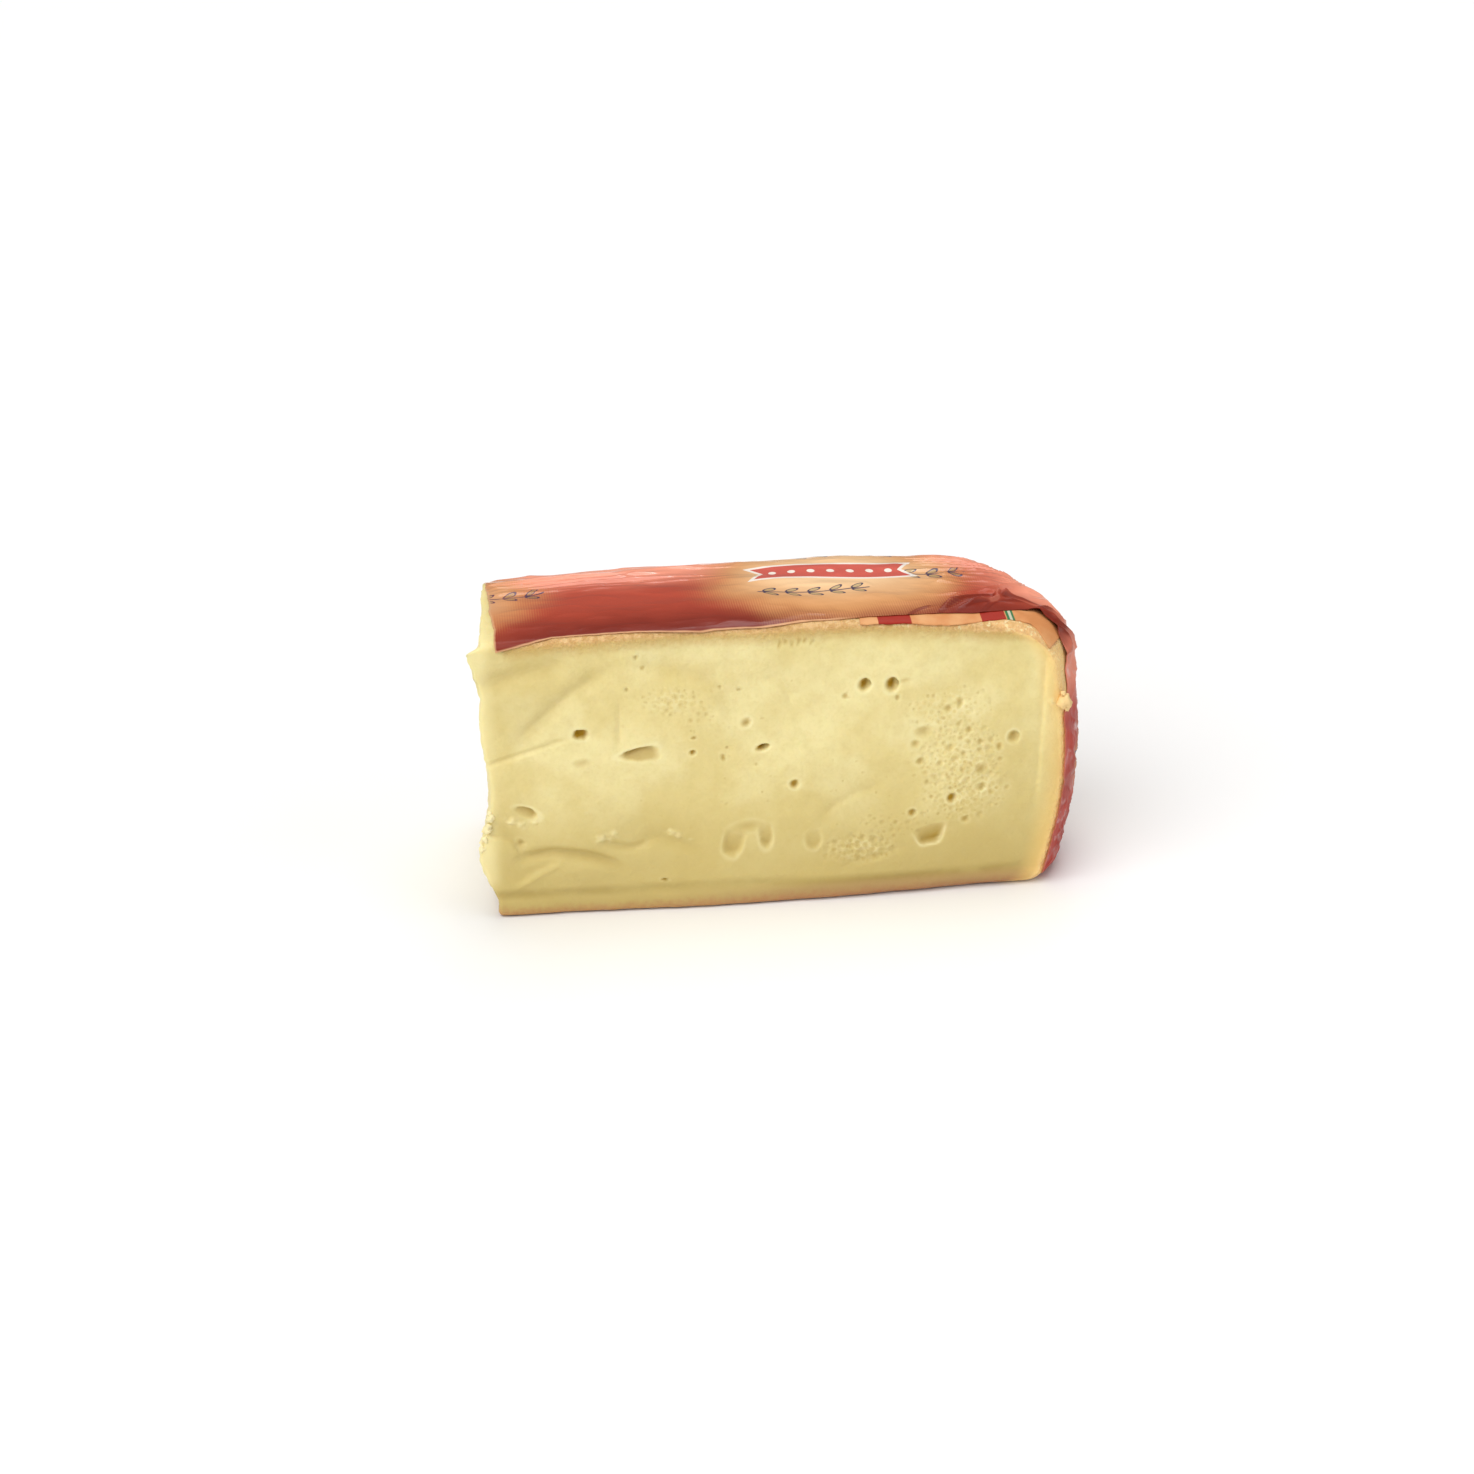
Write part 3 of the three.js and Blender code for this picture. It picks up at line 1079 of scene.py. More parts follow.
        # More painted sheen at the right end and the left back, and painted shade at the right front.
        right_end_sheen = u.rise(38.0, 56.0) * v.rise(-13.0, 0.0)
        colour = s.mix(right_end_sheen * 0.95, colour, self.red_sheen)
        left_back = u.fall(-24.0, -8.0) * v.rise(2.0, 14.0)
        colour = s.mix(left_back * 0.4, colour, self.red_sheen)
        right_front_shade = u.rise(24.0, 34.0) * v.fall(-16.0, -8.0)
        return s.mix(right_front_shade * 0.5, colour, self.red_shade)

    def wall_ground(self, s: Shader, drop: Value, where: Any) -> Any:
        """Lays the red of the wall, clouded, with a painted sheen that makes it paler under the shoulder.

        Args:
            s: the film's shader.
            drop: how far a point lies under the top.
            where: place for the noise.

        Returns:
            The colour.
        """
        clouds = s.noise(where, 9.0, 3.0).rise(0.3, 0.75)
        colour = s.mix(clouds * 0.55, self.red_wall, self.ribbon)
        # Painted sheen under the shoulder.
        return s.mix(drop.fall(9.0, 20.0) * 0.6, colour, self.red_sheen)

    def material(self) -> bpy.types.Material:
        """Builds the film's nodes.

        Returns:
            The material.
        """
        s = Shader("film")
        u, v, turned, where = s.place("print")
        around, drop, _, where_wall = s.place("wall")
        ground = self.ground(s, u, v, where)
        top = self.printed(s, u - self.first[0], v - self.first[1], where, ground)
        top = s.mix(u.fall(-58.0, -46.0) * 0.22, top, self.red)
        ground = self.wall_ground(s, drop, where_wall)
        wall = self.printed(s, around - self.first_wall[0], self.first_wall[1] - drop, where_wall, ground)
        colour = s.mix(turned, top, wall)
        fold = s.note("fold")
        # Painted shade on the folds' flanks and a painted highlight on their crests.
        flanks = fold.rise(0.1, 0.35) * fold.fall(0.6, 1.1)
        colour = s.mix(flanks * 0.65, colour, self.red_shade)
        colour = s.mix(fold.rise(1.1, 1.5) * 0.15, colour, self.red_sheen)
        # Pale edge: the film's own cut edge at the left, and painted light over the shaded edge on the
        # wall.
        hem = (u.fall(6.0, 14.0) * 0.8).most(turned * 0.25)
        colour = s.mix(s.note("edge").fall(0.1, 0.5) * hem, colour, self.edge)
        crinkle = s.noise(where, 1.6, 4.0)
        rough = 0.34 + 0.16 * s.noise(where, 7.0, 3.0)
        flecks = 0.02 + 0.6 * s.noise(where_wall, 2.4, 4.0).rise(0.56, 0.64)
        gloss = blend(0.15 + 0.6 * v.rise(-14.0, 6.0), flecks, turned)
        return s.dress(Base_Color=colour, Roughness=rough, Normal=s.bump(crinkle, 0.08), IOR=1.5,
                       Specular_IOR_Level=0.15, Coat_Weight=gloss, Coat_Roughness=0.13)


@dataclass(frozen=True)
class BandFinish:
    """Satin label band: orange with red blocks and a striped green and white tab."""

    orange: Colour = linear(208, 138, 84)
    peach: Colour = linear(220, 162, 108)
    red: Colour = linear(160, 42, 28)
    green: Colour = linear(58, 116, 72)
    white: Colour = linear(226, 214, 190)
    blocks: tuple[Spot, ...] = ((17.0, 23.7), (38.2, 43.4))
    tab: Spot = (43.6, 45.4)
    blur: float = 0.15
    stripe_blur: float = 0.1

    def material(self) -> bpy.types.Material:
        """Builds the band's nodes.

        Returns:
            The material.
        """
        s = Shader("label")
        u, _, _, where = s.place("print")
        colour = s.mix(s.noise(where, 6.0, 3.0).rise(0.4, 0.7), self.orange, self.peach)
        for low, high in self.blocks:
            block = u.rise(low, low + self.blur) * u.fall(high, high + self.blur)
            colour = s.mix(block, colour, self.red)
        low, high = self.tab
        tab = u.rise(low, low + self.blur) * u.fall(high - self.blur, high)
        third = (high - low) / 3
        stripe = u.rise(low + third, low + third + self.stripe_blur)
        stripe = stripe * u.fall(high - third, high - third + self.stripe_blur)
        colour = s.mix(tab, colour, s.mix(stripe * 0.7, self.green, self.white))
        crease = s.noise(where, 1.4, 4.0)
        return s.dress(Base_Color=colour, Roughness=0.42 + 0.15 * crease, Normal=s.bump(crease, 0.1),
                       Specular_IOR_Level=0.2)


@dataclass(frozen=True)
class CrumbFinish:
    """Torn bits of paste, paler and drier than the cut."""

    pale: Colour = linear(246, 232, 180)
    warm: Colour = linear(242, 204, 140)

    def material(self) -> bpy.types.Material:
        """Builds the crumbs' nodes.

        Returns:
            The material.
        """
        s = Shader("crumbs")
        *_, where = s.place()
        grain = s.noise(where, 0.6, 3.0)
        colour = s.mix(s.note("warm") * 0.9, self.pale, self.warm)
        return s.dress(Base_Color=colour, Roughness=0.5 + 0.2 * grain, Normal=s.bump(grain, 0.1),
                       Specular_IOR_Level=0.3)


@dataclass(frozen=True)
class FloorFinish:
    """Plain pale floor."""

    pale: Colour = (0.88, 0.875, 0.865)

    def material(self) -> bpy.types.Material:
        """Builds the floor's nodes.

        Returns:
            The material.
        """
        s = Shader("floor")
        *_, where = s.place()
        return s.dress(Base_Color=self.pale, Roughness=0.7 + 0.1 * s.noise(where, 30.0))


class Hollow(Enum):
    """Kinds of hollow; the value is the share of its reach that the floor takes."""

    ROUND = 0.3
    BOWL = 0.0
    FLAT = 0.62


@dataclass
class Marks:
    """What eyes do to each point of a cut: how deep it lies, how much painted shade it gets and how much
    painted highlight at a brink.
    """

    depth: Array
    shade: Array
    brink: Array

    @classmethod
    def blank(cls, count: int) -> "Marks":
        """Starts a cut without any eyes."""
        return cls(np.zeros(count), np.zeros(count), np.zeros(count))


@dataclass(frozen=True)
class Eye:
    """A hollow in a cut face, in millimetres, turned by degrees.

    Attributes:
        x: its middle along the face.
        z: its middle up the face.
        wide: half its width.
        tall: half its height.
        deep: its depth in the middle.
        form: how its floor lies.
        turn: how far it is turned.
        square: 2 for an oval mouth, more for a squarer one.
        tilt: how much deeper it is at its far end along.
        dip: how much deeper it is at its upper end.
        tone: how much painted shade it gets at its deepest, from 0 to 1.
        taper: how much wider its mouth is at the upper end.
    """

    x: float
    z: float
    wide: float
    tall: float
    deep: float
    form: Hollow = Hollow.ROUND
    turn: float = 0.0
    square: float = 2.0
    tilt: float = 0.0
    dip: float = 0.0
    tone: float = 0.8
    taper: float = 0.0

    MARGIN: ClassVar[float] = 1.2
    ROOM: ClassVar[float] = 0.8
    MOUTH: ClassVar[float] = 1.12
    UNEVEN: ClassVar[float] = 0.12
    UNEVEN_SIZE: ClassVar[float] = 0.8
    LIP: ClassVar[float] = 0.3
    LIP_SHARE: ClassVar[float] = 0.35
    LIP_SLOPE: ClassVar[float] = 1.5
    LIP_PALE: ClassVar[float] = 0.35

    def press(self, x: Array, z: Array, marks: Marks, uneven: Array) -> None:
        """Marks a face where the eye lies.

        Args:
            x: place of each point along the face.
            z: its height.
            marks: what the eyes have done so far, changed in place.
            uneven: noise that makes the mouth uneven.
        """
        small = min(self.wide, self.tall)
        reach = max(self.wide, self.tall) * self.MARGIN + self.ROOM
        near = np.flatnonzero((np.abs(x - self.x) < reach) & (np.abs(z - self.z) < reach))
        turn = math.radians(self.turn)
        across, rise = x[near] - self.x, z[near] - self.z
        a = (across * math.cos(turn) + rise * math.sin(turn)) / self.wide
        b = (rise * math.cos(turn) - across * math.sin(turn)) / self.tall
        a = a / (1.0 + self.taper * np.clip(b, -1.0, 1.0))
        away = (np.abs(a) ** self.square + np.abs(b) ** self.square) ** (1.0 / self.square)
        away = away * (1.0 + self.UNEVEN * min(1.0, self.UNEVEN_SIZE / small) * uneven[near])
        slope = np.maximum(1.0 + self.tilt * a + self.dip * b, 0.0)
        steepest = 1.0 + abs(self.tilt) + abs(self.dip)
        share = slope * (1.0 - ease(away, self.form.value, self.MOUTH))
        lip = min(self.LIP, self.LIP_SHARE * small)
        ring = hill((away - 1.0) * small - lip, lip) * np.minimum(slope, self.LIP_SLOPE) * min(1.0, small)
        marks.depth[near] = np.maximum(marks.depth[near], self.deep * share)
        # Painted shade inside the eye and a painted highlight round its brink.
        marks.shade[near] = np.maximum(marks.shade[near], self.tone * share / steepest)
        marks.brink[near] = np.maximum(marks.brink[near], self.LIP_PALE * self.tone * ring)


@dataclass(frozen=True)
class PoreField:
    """A patch of the cut face that is strewn with small pores.

    Attributes:
        x: its middle along the face.
        z: its middle up the face.
        reach_x: half its length.
        reach_z: half its height.
        count: how many pores it has.
        small: half the width of the smallest.
        large: half the width of the largest.
    """

    x: float
    z: float
    reach_x: float
    reach_z: float
    count: int
    small: float
    large: float

    FEW_LARGE: ClassVar[float] = 2.5
    TRIES: ClassVar[int] = 30
    CLEAR: ClassVar[float] = 0.9
    TALL: ClassVar[Spot] = (0.75, 1.15)
    DEEP: ClassVar[Spot] = (0.2, 0.45)
    # How much painted shade the pores get.
    TONE: ClassVar[Spot] = (0.08, 0.36)
    TURN: ClassVar[Spot] = (-40.0, 40.0)

    def eyes(self, draw: np.random.Generator) -> list[Eye]:
        """Strews the pores so that they hardly overlap.

        Args:
            draw: source of the random draws.

        Returns:
            The pores, the largest first.
        """
        sizes = np.sort(blend(self.small, self.large, draw.random(self.count) ** self.FEW_LARGE))[::-1]
        pores: list[Eye] = []
        for size in sizes:
            for _ in range(self.TRIES):
                turn = draw.random() * 2.0 * math.pi
                away = math.sqrt(draw.random())
                x = self.x + self.reach_x * away * math.cos(turn)
                z = self.z + self.reach_z * away * math.sin(turn)
                if all(math.hypot(x - p.x, z - p.z) > (size + p.wide) * self.CLEAR for p in pores):
                    break
            tall = size * draw.uniform(*self.TALL)
            deep = size * draw.uniform(*self.DEEP)
            tone = self.TONE[0] + self.TONE[1] * draw.random() ** 2.0
            turn = draw.uniform(*self.TURN)
            pores.append(Eye(x, z, size, tall, deep, Hollow.BOWL, turn, tone=tone))
        return pores


@dataclass(frozen=True)
class Crease:
    """A line pressed into a surface, with the ground on its left set back.

    Attributes:
        path: the places that it passes, rounded off between them.
        width: half the line's width.
        depth: how deep it is, or how high where it is negative.
        step: how far the ground on the left of the path lies behind the rest.
        fade: how far from the line the step has gone.
    """

    path: tuple[Spot, ...]
    width: float
    depth: float
    step: float = 0.0
    fade: float = 6.0

    ROUNDS: ClassVar[int] = 3
    REACH: ClassVar[float] = 3.0
    ENDS: ClassVar[float] = 0.3

    def rounded(self) -> Array:
        """Cuts the corners of the path off a few times over.

        Returns:
            The places on the rounded path.
        """
        spots = np.array(self.path)
        for _ in range(self.ROUNDS):
            near = blend(spots[:-1], spots[1:], 0.25)
            far = blend(spots[:-1], spots[1:], 0.75)
            middle = np.stack((near, far), axis=1).reshape(-1, 2)
            spots = np.concatenate((spots[:1], middle, spots[-1:]))
        return spots

    def depth_at(self, x: Array, z: Array) -> Array:
        """Measures how deep the line sets each point.

        Args:
            x: place of each point along the surface.
            z: its place up the surface, or across it.

        Returns:
            The depth at each point.
        """
        path = self.rounded()
        reach = self.REACH * max(self.width, self.fade)
        low, high = path.min(axis=0) - reach, path.max(axis=0) + reach
        near = np.flatnonzero((x > low[0]) & (x < high[0]) & (z > low[1]) & (z < high[1]))
        spots = np.stack((x[near], z[near]), axis=1)
        nearest = np.full(len(near), np.inf)
        side = np.zeros(len(near))
        place = np.zeros(len(near))
        gone = 0.0
        for start, stop in itertools.pairwise(path):
            way = stop - start
            long = math.hypot(*way)
            off = spots - start
            held = np.clip(off @ way / long**2, 0.0, 1.0)
            away = np.linalg.norm(off - held[:, None] * way, axis=1)
            closer = away < nearest
            nearest = np.where(closer, away, nearest)
            side = np.where(closer, (way[0] * off[:, 1] - way[1] * off[:, 0]) / long, side)
            place = np.where(closer, gone + held * long, place)
            gone += long
        share = place / gone
        taper = ease(share, 0.0, self.ENDS) * (1.0 - ease(share, 1.0 - self.ENDS, 1.0))
        valley = self.depth * hill(nearest, self.width)
        shelf = self.step * ease(side, -self.width, self.width) * hill(nearest, self.fade)
        total = np.zeros(x.shape)
        total[near] = (valley + shelf) * taper
        return total


@dataclass
class Paste:
    """The cheese itself: two cut faces with eyes, pores and creases, and the rind under the film.

    Attributes:
        groove_change: middle share of the groove's depth, how much it changes and over what length.
        sponge_change: the same for the sponge.
        no_brim: what is noted as the brim where no rind is near.
        no_rim: what is noted as the distance where no rim is near.
        lumps: places along and up of the small torn lumps, and their sizes.
        swells: places along and up of the broad bulges, their reach each way and their height.
    """

    loaf: Loaf
    finish: PasteFinish = field(default_factory=PasteFinish)
    grow: float = -0.22
    spacing: float = 0.36
    fine_spacing: float = 0.24
    fine_x: Spot = (26.0, 43.0)
    fine_z: Spot = (17.0, 36.0)
    fine_change: float = 3.0
    deep_steps: int = 52
    deep_crowding: float = 1.5
    hidden_deep: float = 0.1
    hidden_along: float = 0.05
    triangles: int = 197_000
    seed: int = 11
    groove: float = 0.4
    groove_change: tuple[float, float, float] = (0.6, 0.8, 11.0)
    groove_z: float = 5.0
    groove_reach: float = 1.2
    groove_drop: float = 0.8
    groove_drop_x: Spot = (-20.0, 20.0)
    ripple: float = 0.3
    ripple_x: float = 9.0
    ripple_z: float = 7.0
    flap_out: float = 5.3
    flap_y: float = -22.0
    flap_low: float = 47.8
    flap_high: float = 57.2
    flap_reach: float = 2.6
    flap_end: float = 1.6
    torn: Waves = Waves(0.5, (1.5, 1.2), 9.0, 2)
    torn_z: float = 18.0
    torn_reach: float = 4.0
    left_rough: tuple[Waves, ...] = (Waves(0.35, (7.0, 7.0)), Waves(0.2, (2.2, 2.2), 3.0, 3))
    front_rough: tuple[Waves, ...] = (
        Waves(0.2, (13.0, 9.0)),
        Waves(0.15, (4.5, 3.6), 2.0),
        Waves(0.055, (1.8, 1.4), 5.0, 2),
    )
    uneven: Waves = Waves(1.0, (1.6, 1.6), 0.5, 2)
    round_base: Spot = (0.8, 2.8)
    round_base_x: Spot = (-10.0, 40.0)
    round_side: float = 0.9
    round_rim: float = 0.6

    eyes: tuple[Eye, ...] = (
        Eye(14.3, 46.7, 1.3, 1.4, 2.4, tone=1.0),
        Eye(19.8, 46.5, 1.35, 1.55, 2.4, tone=1.0),
        Eye(22.6, 47.2, 1.9, 0.5, 0.25, Hollow.BOWL, 8.0, tone=0.3),
        Eye(-42.1, 39.0, 1.4, 1.0, 1.3, Hollow.FLAT, -8.0, 3.6, tone=1.0),
        Eye(-30.5, 34.3, 1.45, 3.9, 0.85, Hollow.FLAT, -85.0, 2.4, -0.9, -0.45, tone=1.0, taper=0.38),
        Eye(-30.2, 34.2, 1.35, 3.7, 0.35, Hollow.FLAT, -85.0, 2.6, tone=0.5, taper=0.38),
        Eye(-41.9, 32.9, 2.2, 1.2, 0.4, Hollow.BOWL, 10.0, tone=0.28),
        Eye(-20.0, 34.2, 0.65, 0.7, 0.8, tone=1.0),
        Eye(-19.7, 37.4, 0.7, 0.4, 0.35, tone=0.7),
        Eye(-13.9, 32.8, 0.5, 1.0, 0.5, Hollow.ROUND, 20.0, tone=0.6),
        Eye(-13.1, 34.9, 0.4, 0.4, 0.3, tone=0.5),
        Eye(-6.1, 34.5, 1.4, 0.75, 2.2, Hollow.ROUND, 16.0, tone=1.0),
        Eye(-9.4, 40.1, 1.0, 1.05, 0.6, Hollow.ROUND, 0.0, 2.0, 0.3, -0.4, tone=0.8),
        Eye(-53.3, 22.9, 2.4, 1.1, 0.6, Hollow.FLAT, -22.0, 2.0, 0.5, 0.8, tone=0.8),
        Eye(-54.6, 16.3, 0.8, 1.0, 0.5, Hollow.BOWL, 30.0, tone=0.3),
        Eye(-11.8, 14.8, 2.1, 3.6, 0.5, Hollow.FLAT, -14.0, 2.4, 0.0, -0.95, tone=0.4),
        Eye(-5.4, 15.7, 1.35, 2.9, 0.5, Hollow.FLAT, 4.0, 2.4, 0.0, -0.9, tone=0.45),
        Eye(-9.0, 17.6, 3.0, 1.3, 0.25, Hollow.BOWL, 4.0, tone=0.3),
        Eye(4.4, 13.9, 1.65, 2.2, 0.3, Hollow.FLAT, 0.0, 2.2, 0.0, -0.9, tone=0.3),
        Eye(-25.9, 6.8, 0.8, 0.35, 0.5, Hollow.ROUND, -12.0, tone=1.0),
        Eye(0.4, 26.3, 0.95, 1.0, 0.7, tone=0.9),
        Eye(26.7, 35.9, 2.2, 1.5, 0.6, Hollow.BOWL, 0.0, 2.0, -0.3, 0.4, tone=0.6),
        Eye(24.9, 33.5, 1.1, 1.0, 0.4, Hollow.BOWL, tone=0.5),
        Eye(26.0, 29.6, 0.9, 0.9, 0.5, tone=0.5),
        Eye(33.9, 41.8, 0.9, 1.2, 0.5, Hollow.BOWL, tone=0.55),
        Eye(35.8, 35.7, 0.7, 0.8, 0.5, tone=0.5),
        Eye(38.2, 33.1, 0.65, 0.8, 0.4, tone=0.45),
        Eye(42.3, 31.8, 0.75, 0.95, 0.4, Hollow.BOWL, tone=0.5),
        Eye(45.2, 33.6, 1.3, 1.4, 0.9, Hollow.ROUND, 0.0, 2.0, -0.3, 0.4, tone=0.75),
        Eye(38.7, 27.1, 1.5, 1.3, 0.5, Hollow.BOWL, tone=0.5),
        Eye(38.8, 23.3, 1.0, 1.0, 0.5, Hollow.ROUND, 0.0, 2.0, 0.4, -0.3, tone=0.7),
        Eye(32.7, 21.1, 1.05, 1.1, 0.9, tone=1.0),
        Eye(35.6, 16.2, 0.8, 0.75, 0.4, tone=0.5),
        Eye(24.6, 18.3, 0.8, 0.9, 0.7, tone=0.8),
        Eye(28.3, 13.4, 2.8, 2.2, 0.75, Hollow.FLAT, 7.0, 4.5, 0.35, -0.95, tone=0.9, taper=0.28),
        Eye(10.5, 44.6, 0.7, 0.7, 0.35, tone=0.5),
        Eye(21.0, 43.7, 0.55, 0.6, 0.4, tone=0.6),
        Eye(31.5, 40.7, 0.75, 0.8, 0.35, tone=0.5),
        Eye(-30.9, 54.7, 0.55, 0.55, 0.4, tone=0.6),
        Eye(-29.6, 52.4, 0.6, 0.5, 0.3, tone=0.5),
        Eye(-32.7, 48.1, 0.45, 0.55, 0.3, tone=0.5),
        Eye(-14.4, 47.7, 0.55, 0.45, 0.35, tone=0.5),
        Eye(-10.8, 47.0, 0.5, 0.4, 0.4, tone=0.6),
    )
    left_eyes: tuple[Eye, ...] = (
        Eye(-8.0, 33.0, 1.3, 1.2, 1.6),
        Eye(6.5, 42.0, 1.0, 1.1, 1.3),
        Eye(11.0, 21.0, 2.4, 1.2, 0.9, Hollow.FLAT, 8.0),
        Eye(-2.0, 15.0, 0.8, 0.9, 0.9),
        Eye(-12.0, 46.0, 0.7, 0.6, 0.7),
        Eye(3.0, 29.0, 0.6, 0.6, 0.6),
    )
    fields: tuple[PoreField, ...] = (
        PoreField(34.5, 30.0, 8.5, 8.0, 170, 0.32, 1.05),
        PoreField(35.5, 22.5, 9.0, 6.5, 70, 0.32, 0.85),
        PoreField(32.0, 40.0, 9.0, 6.0, 50, 0.3, 0.75),
        PoreField(13.6, 11.2, 7.5, 3.0, 80, 0.4, 1.0),
        PoreField(-24.0, 45.5, 6.0, 3.0, 44, 0.35, 0.65),
        PoreField(-18.5, 41.5, 3.5, 3.0, 16, 0.35, 0.65),
        PoreField(21.0, 16.2, 8.5, 3.0, 44, 0.3, 0.75),
        PoreField(20.0, 22.0, 14.0, 10.0, 24, 0.3, 0.5),
        PoreField(0.0, 30.0, 50.0, 22.0, 36, 0.3, 0.5),
    )
    creases: tuple[Crease, ...] = (
        Crease(((-63.5, 32.5), (-55.3, 34.8), (-42.0, 39.0)), 0.5, 0.45, 0.25, 3.5),
        Crease(((-54.5, 37.2), (-52.0, 39.5), (-43.3, 47.0), (-37.0, 51.0)), 0.45, -0.25),
        Crease(((-57.0, 35.0), (-43.5, 48.0), (-33.0, 54.0)), 1.6, 0.95, 0.3, 6.0),
        Crease(((-64.0, 49.2), (-51.1, 52.5), (-42.0, 55.0)), 2.0, 1.05, 0.1, 5.0),
        Crease(((-34.0, 53.2), (-20.7, 50.8), (-14.5, 46.5), (-11.0, 38.5)), 1.6, 0.35, 0.6, 6.0),
        Crease(((-7.8, 49.2), (-2.2, 48.6), (-0.3, 41.5)), 0.8, 0.25, 0.3, 3.5),
        Crease(((-64.0, 18.3), (-60.3, 17.9), (-56.7, 17.2), (-55.3, 14.5), (-55.0, 12.0)),
               0.4, 0.0, 0.6, 4.0),
        Crease(((-57.5, 11.5), (-54.3, 13.2), (-51.2, 13.9), (-47.2, 14.5), (-42.5, 13.5), (-38.5, 12.4),
                (-35.0, 10.7), (-32.0, 8.0)), 1.1, 1.3, -0.3, 4.0),
        Crease(((-39.5, 18.0), (-36.5, 15.4), (-33.0, 14.2), (-28.0, 15.8)), 0.9, 0.8, -0.2, 3.0),
        Crease(((-57.0, 5.6), (-55.1, 6.9), (-49.2, 10.8), (-45.0, 12.4)), 0.7, -0.5, 0.4, 3.0),
        Crease(((-36.0, 14.6), (-29.5, 16.6), (-21.0, 13.8), (-15.5, 9.5)), 1.1, 0.25, 0.35, 4.0),
        Crease(((51.4, 56.0), (51.0, 42.8), (50.9, 34.6), (50.0, 14.0)), 0.7, 0.3, -0.35, 3.0),
        Crease(((5.0, 17.5), (11.0, 23.0), (20.0, 25.0)), 0.8, 0.2, 0.2, 3.0),
        Crease(((-34.2, 46.0), (-34.7, 39.0), (-35.0, 33.5)), 0.6, 0.35, 0.05, 2.0),
        Crease(((8.0, 6.5), (18.0, 9.5), (26.0, 11.8)), 0.8, 0.25, 0.1, 3.0),
    )
    lumps: tuple[tuple[float, float, float], ...] = (
        (-38.5, 16.8, 0.95), (-37.0, 16.3, 0.6), (-36.0, 17.6, 0.7), (-24.3, 17.3, 0.85),
        (-23.0, 16.3, 0.7), (-20.5, 15.4, 0.5), (-56.2, 21.2, 1.0), (-54.3, 20.3, 0.8),
        (-51.6, 20.9, 0.6), (53.2, 41.0, 0.7),
    )
    lump_shifts: tuple[Waves, Waves] = (Waves(0.7, (1.1, 1.1)), Waves(0.7, (1.1, 1.1), 6.0))
    lump_flat: float = 1.3
    lump_out: float = 0.6
    lump_pale: float = 0.5
    palest: float = 0.6
    swells: tuple[tuple[float, float, float, float, float], ...] = (
        (-42.0, 9.8, 8.0, 2.2, 0.6), (-58.5, 13.5, 3.0, 3.0, 0.4), (-48.0, 19.0, 9.0, 3.0, 0.25),
        (-30.0, 40.5, 10.0, 4.0, 0.2), (-20.0, 22.0, 14.0, 5.0, 0.25), (12.0, 33.0, 10.0, 6.0, 0.25),
    )
    crease_shade: float = 0.16
    streaks_x: Spot = (-2.7, 3.6)
    streaks_z: float = 56.4
    streaks: int = 6
    streak_wide: float = 0.45
    streak_deep: float = 0.35
    streak_up: Spot = (-0.3, 0.3)
    streak_tall: Spot = (0.7, 1.2)
    streak_turn: Spot = (-14.0, 4.0)
    streak_tone: float = 0.5
    spongy_fields: int = 5
    sponge_edge: Spot = (0.2, 1.3)
    sponge_change: tuple[float, float, float] = (0.75, 0.5, 3.0)
    brim_top: Spot = (4.0, 2.2)
    brim_top_x: Spot = (38.0, 50.0)
    brim_rim: float = 1.7
    brim_x: Spot = (-59.0, -56.0)
    no_brim: float = 3.0
    no_rim: float = 30.0

    def left(self, y: Array, z: Array) -> Array:
        """Shapes the short cut, roughly torn, with a flap high at the front.

        Args:
            y: place across.
            z: height.

        Returns:
            The cut's place along.
        """
        noise = Noise(self.seed + 1)
        tear = np.clip((z - self.flap_low) / (self.flap_high - self.flap_low), 0.0, 1.0)
        tear = tear * (1.0 - ease(z, self.flap_high, self.flap_high + self.flap_end))
        flap = self.flap_out * hill(y - self.flap_y, self.flap_reach) * tear
        rough = roughness(self.left_rough, noise, y, z)
        torn = self.torn.at(noise, y, z) * hill(z - self.torn_z, self.torn_reach)
        marks = Marks.blank(len(y))
        for eye in self.left_eyes:
            eye.press(y, z, marks, rough)
        return self.loaf.left_plane(y, z) + marks.depth - flap - rough - torn

    def all_eyes(self) -> list[Eye]:
        """Gathers the eyes, the pores of each field and the row of streaks under the top edge.

        Returns:
            The eyes.
        """
        draw = np.random.default_rng(self.seed)
        found = list(self.eyes)
        for pores in self.fields:
            found.extend(pores.eyes(draw))
        for x in np.linspace(*self.streaks_x, self.streaks):
            z = self.streaks_z + draw.uniform(*self.streak_up)
            tall = draw.uniform(*self.streak_tall)
            turn = draw.uniform(*self.streak_turn)
            found.append(Eye(x, z, self.streak_wide, tall, self.streak_deep, Hollow.BOWL, turn,
                             tone=self.streak_tone))
        return found

    def marks(self, x: Array, z: Array) -> Marks:
        """Presses all the eyes into the long cut.

        Args:
            x: place of each point along the cut.
            z: its height.

        Returns:
            What the eyes do to each point.
        """
        marks = Marks.blank(len(x))
        uneven = self.uneven.at(Noise(self.seed + 3), x, z)
        for eye in self.all_eyes():
            eye.press(x, z, marks, uneven)
        return marks

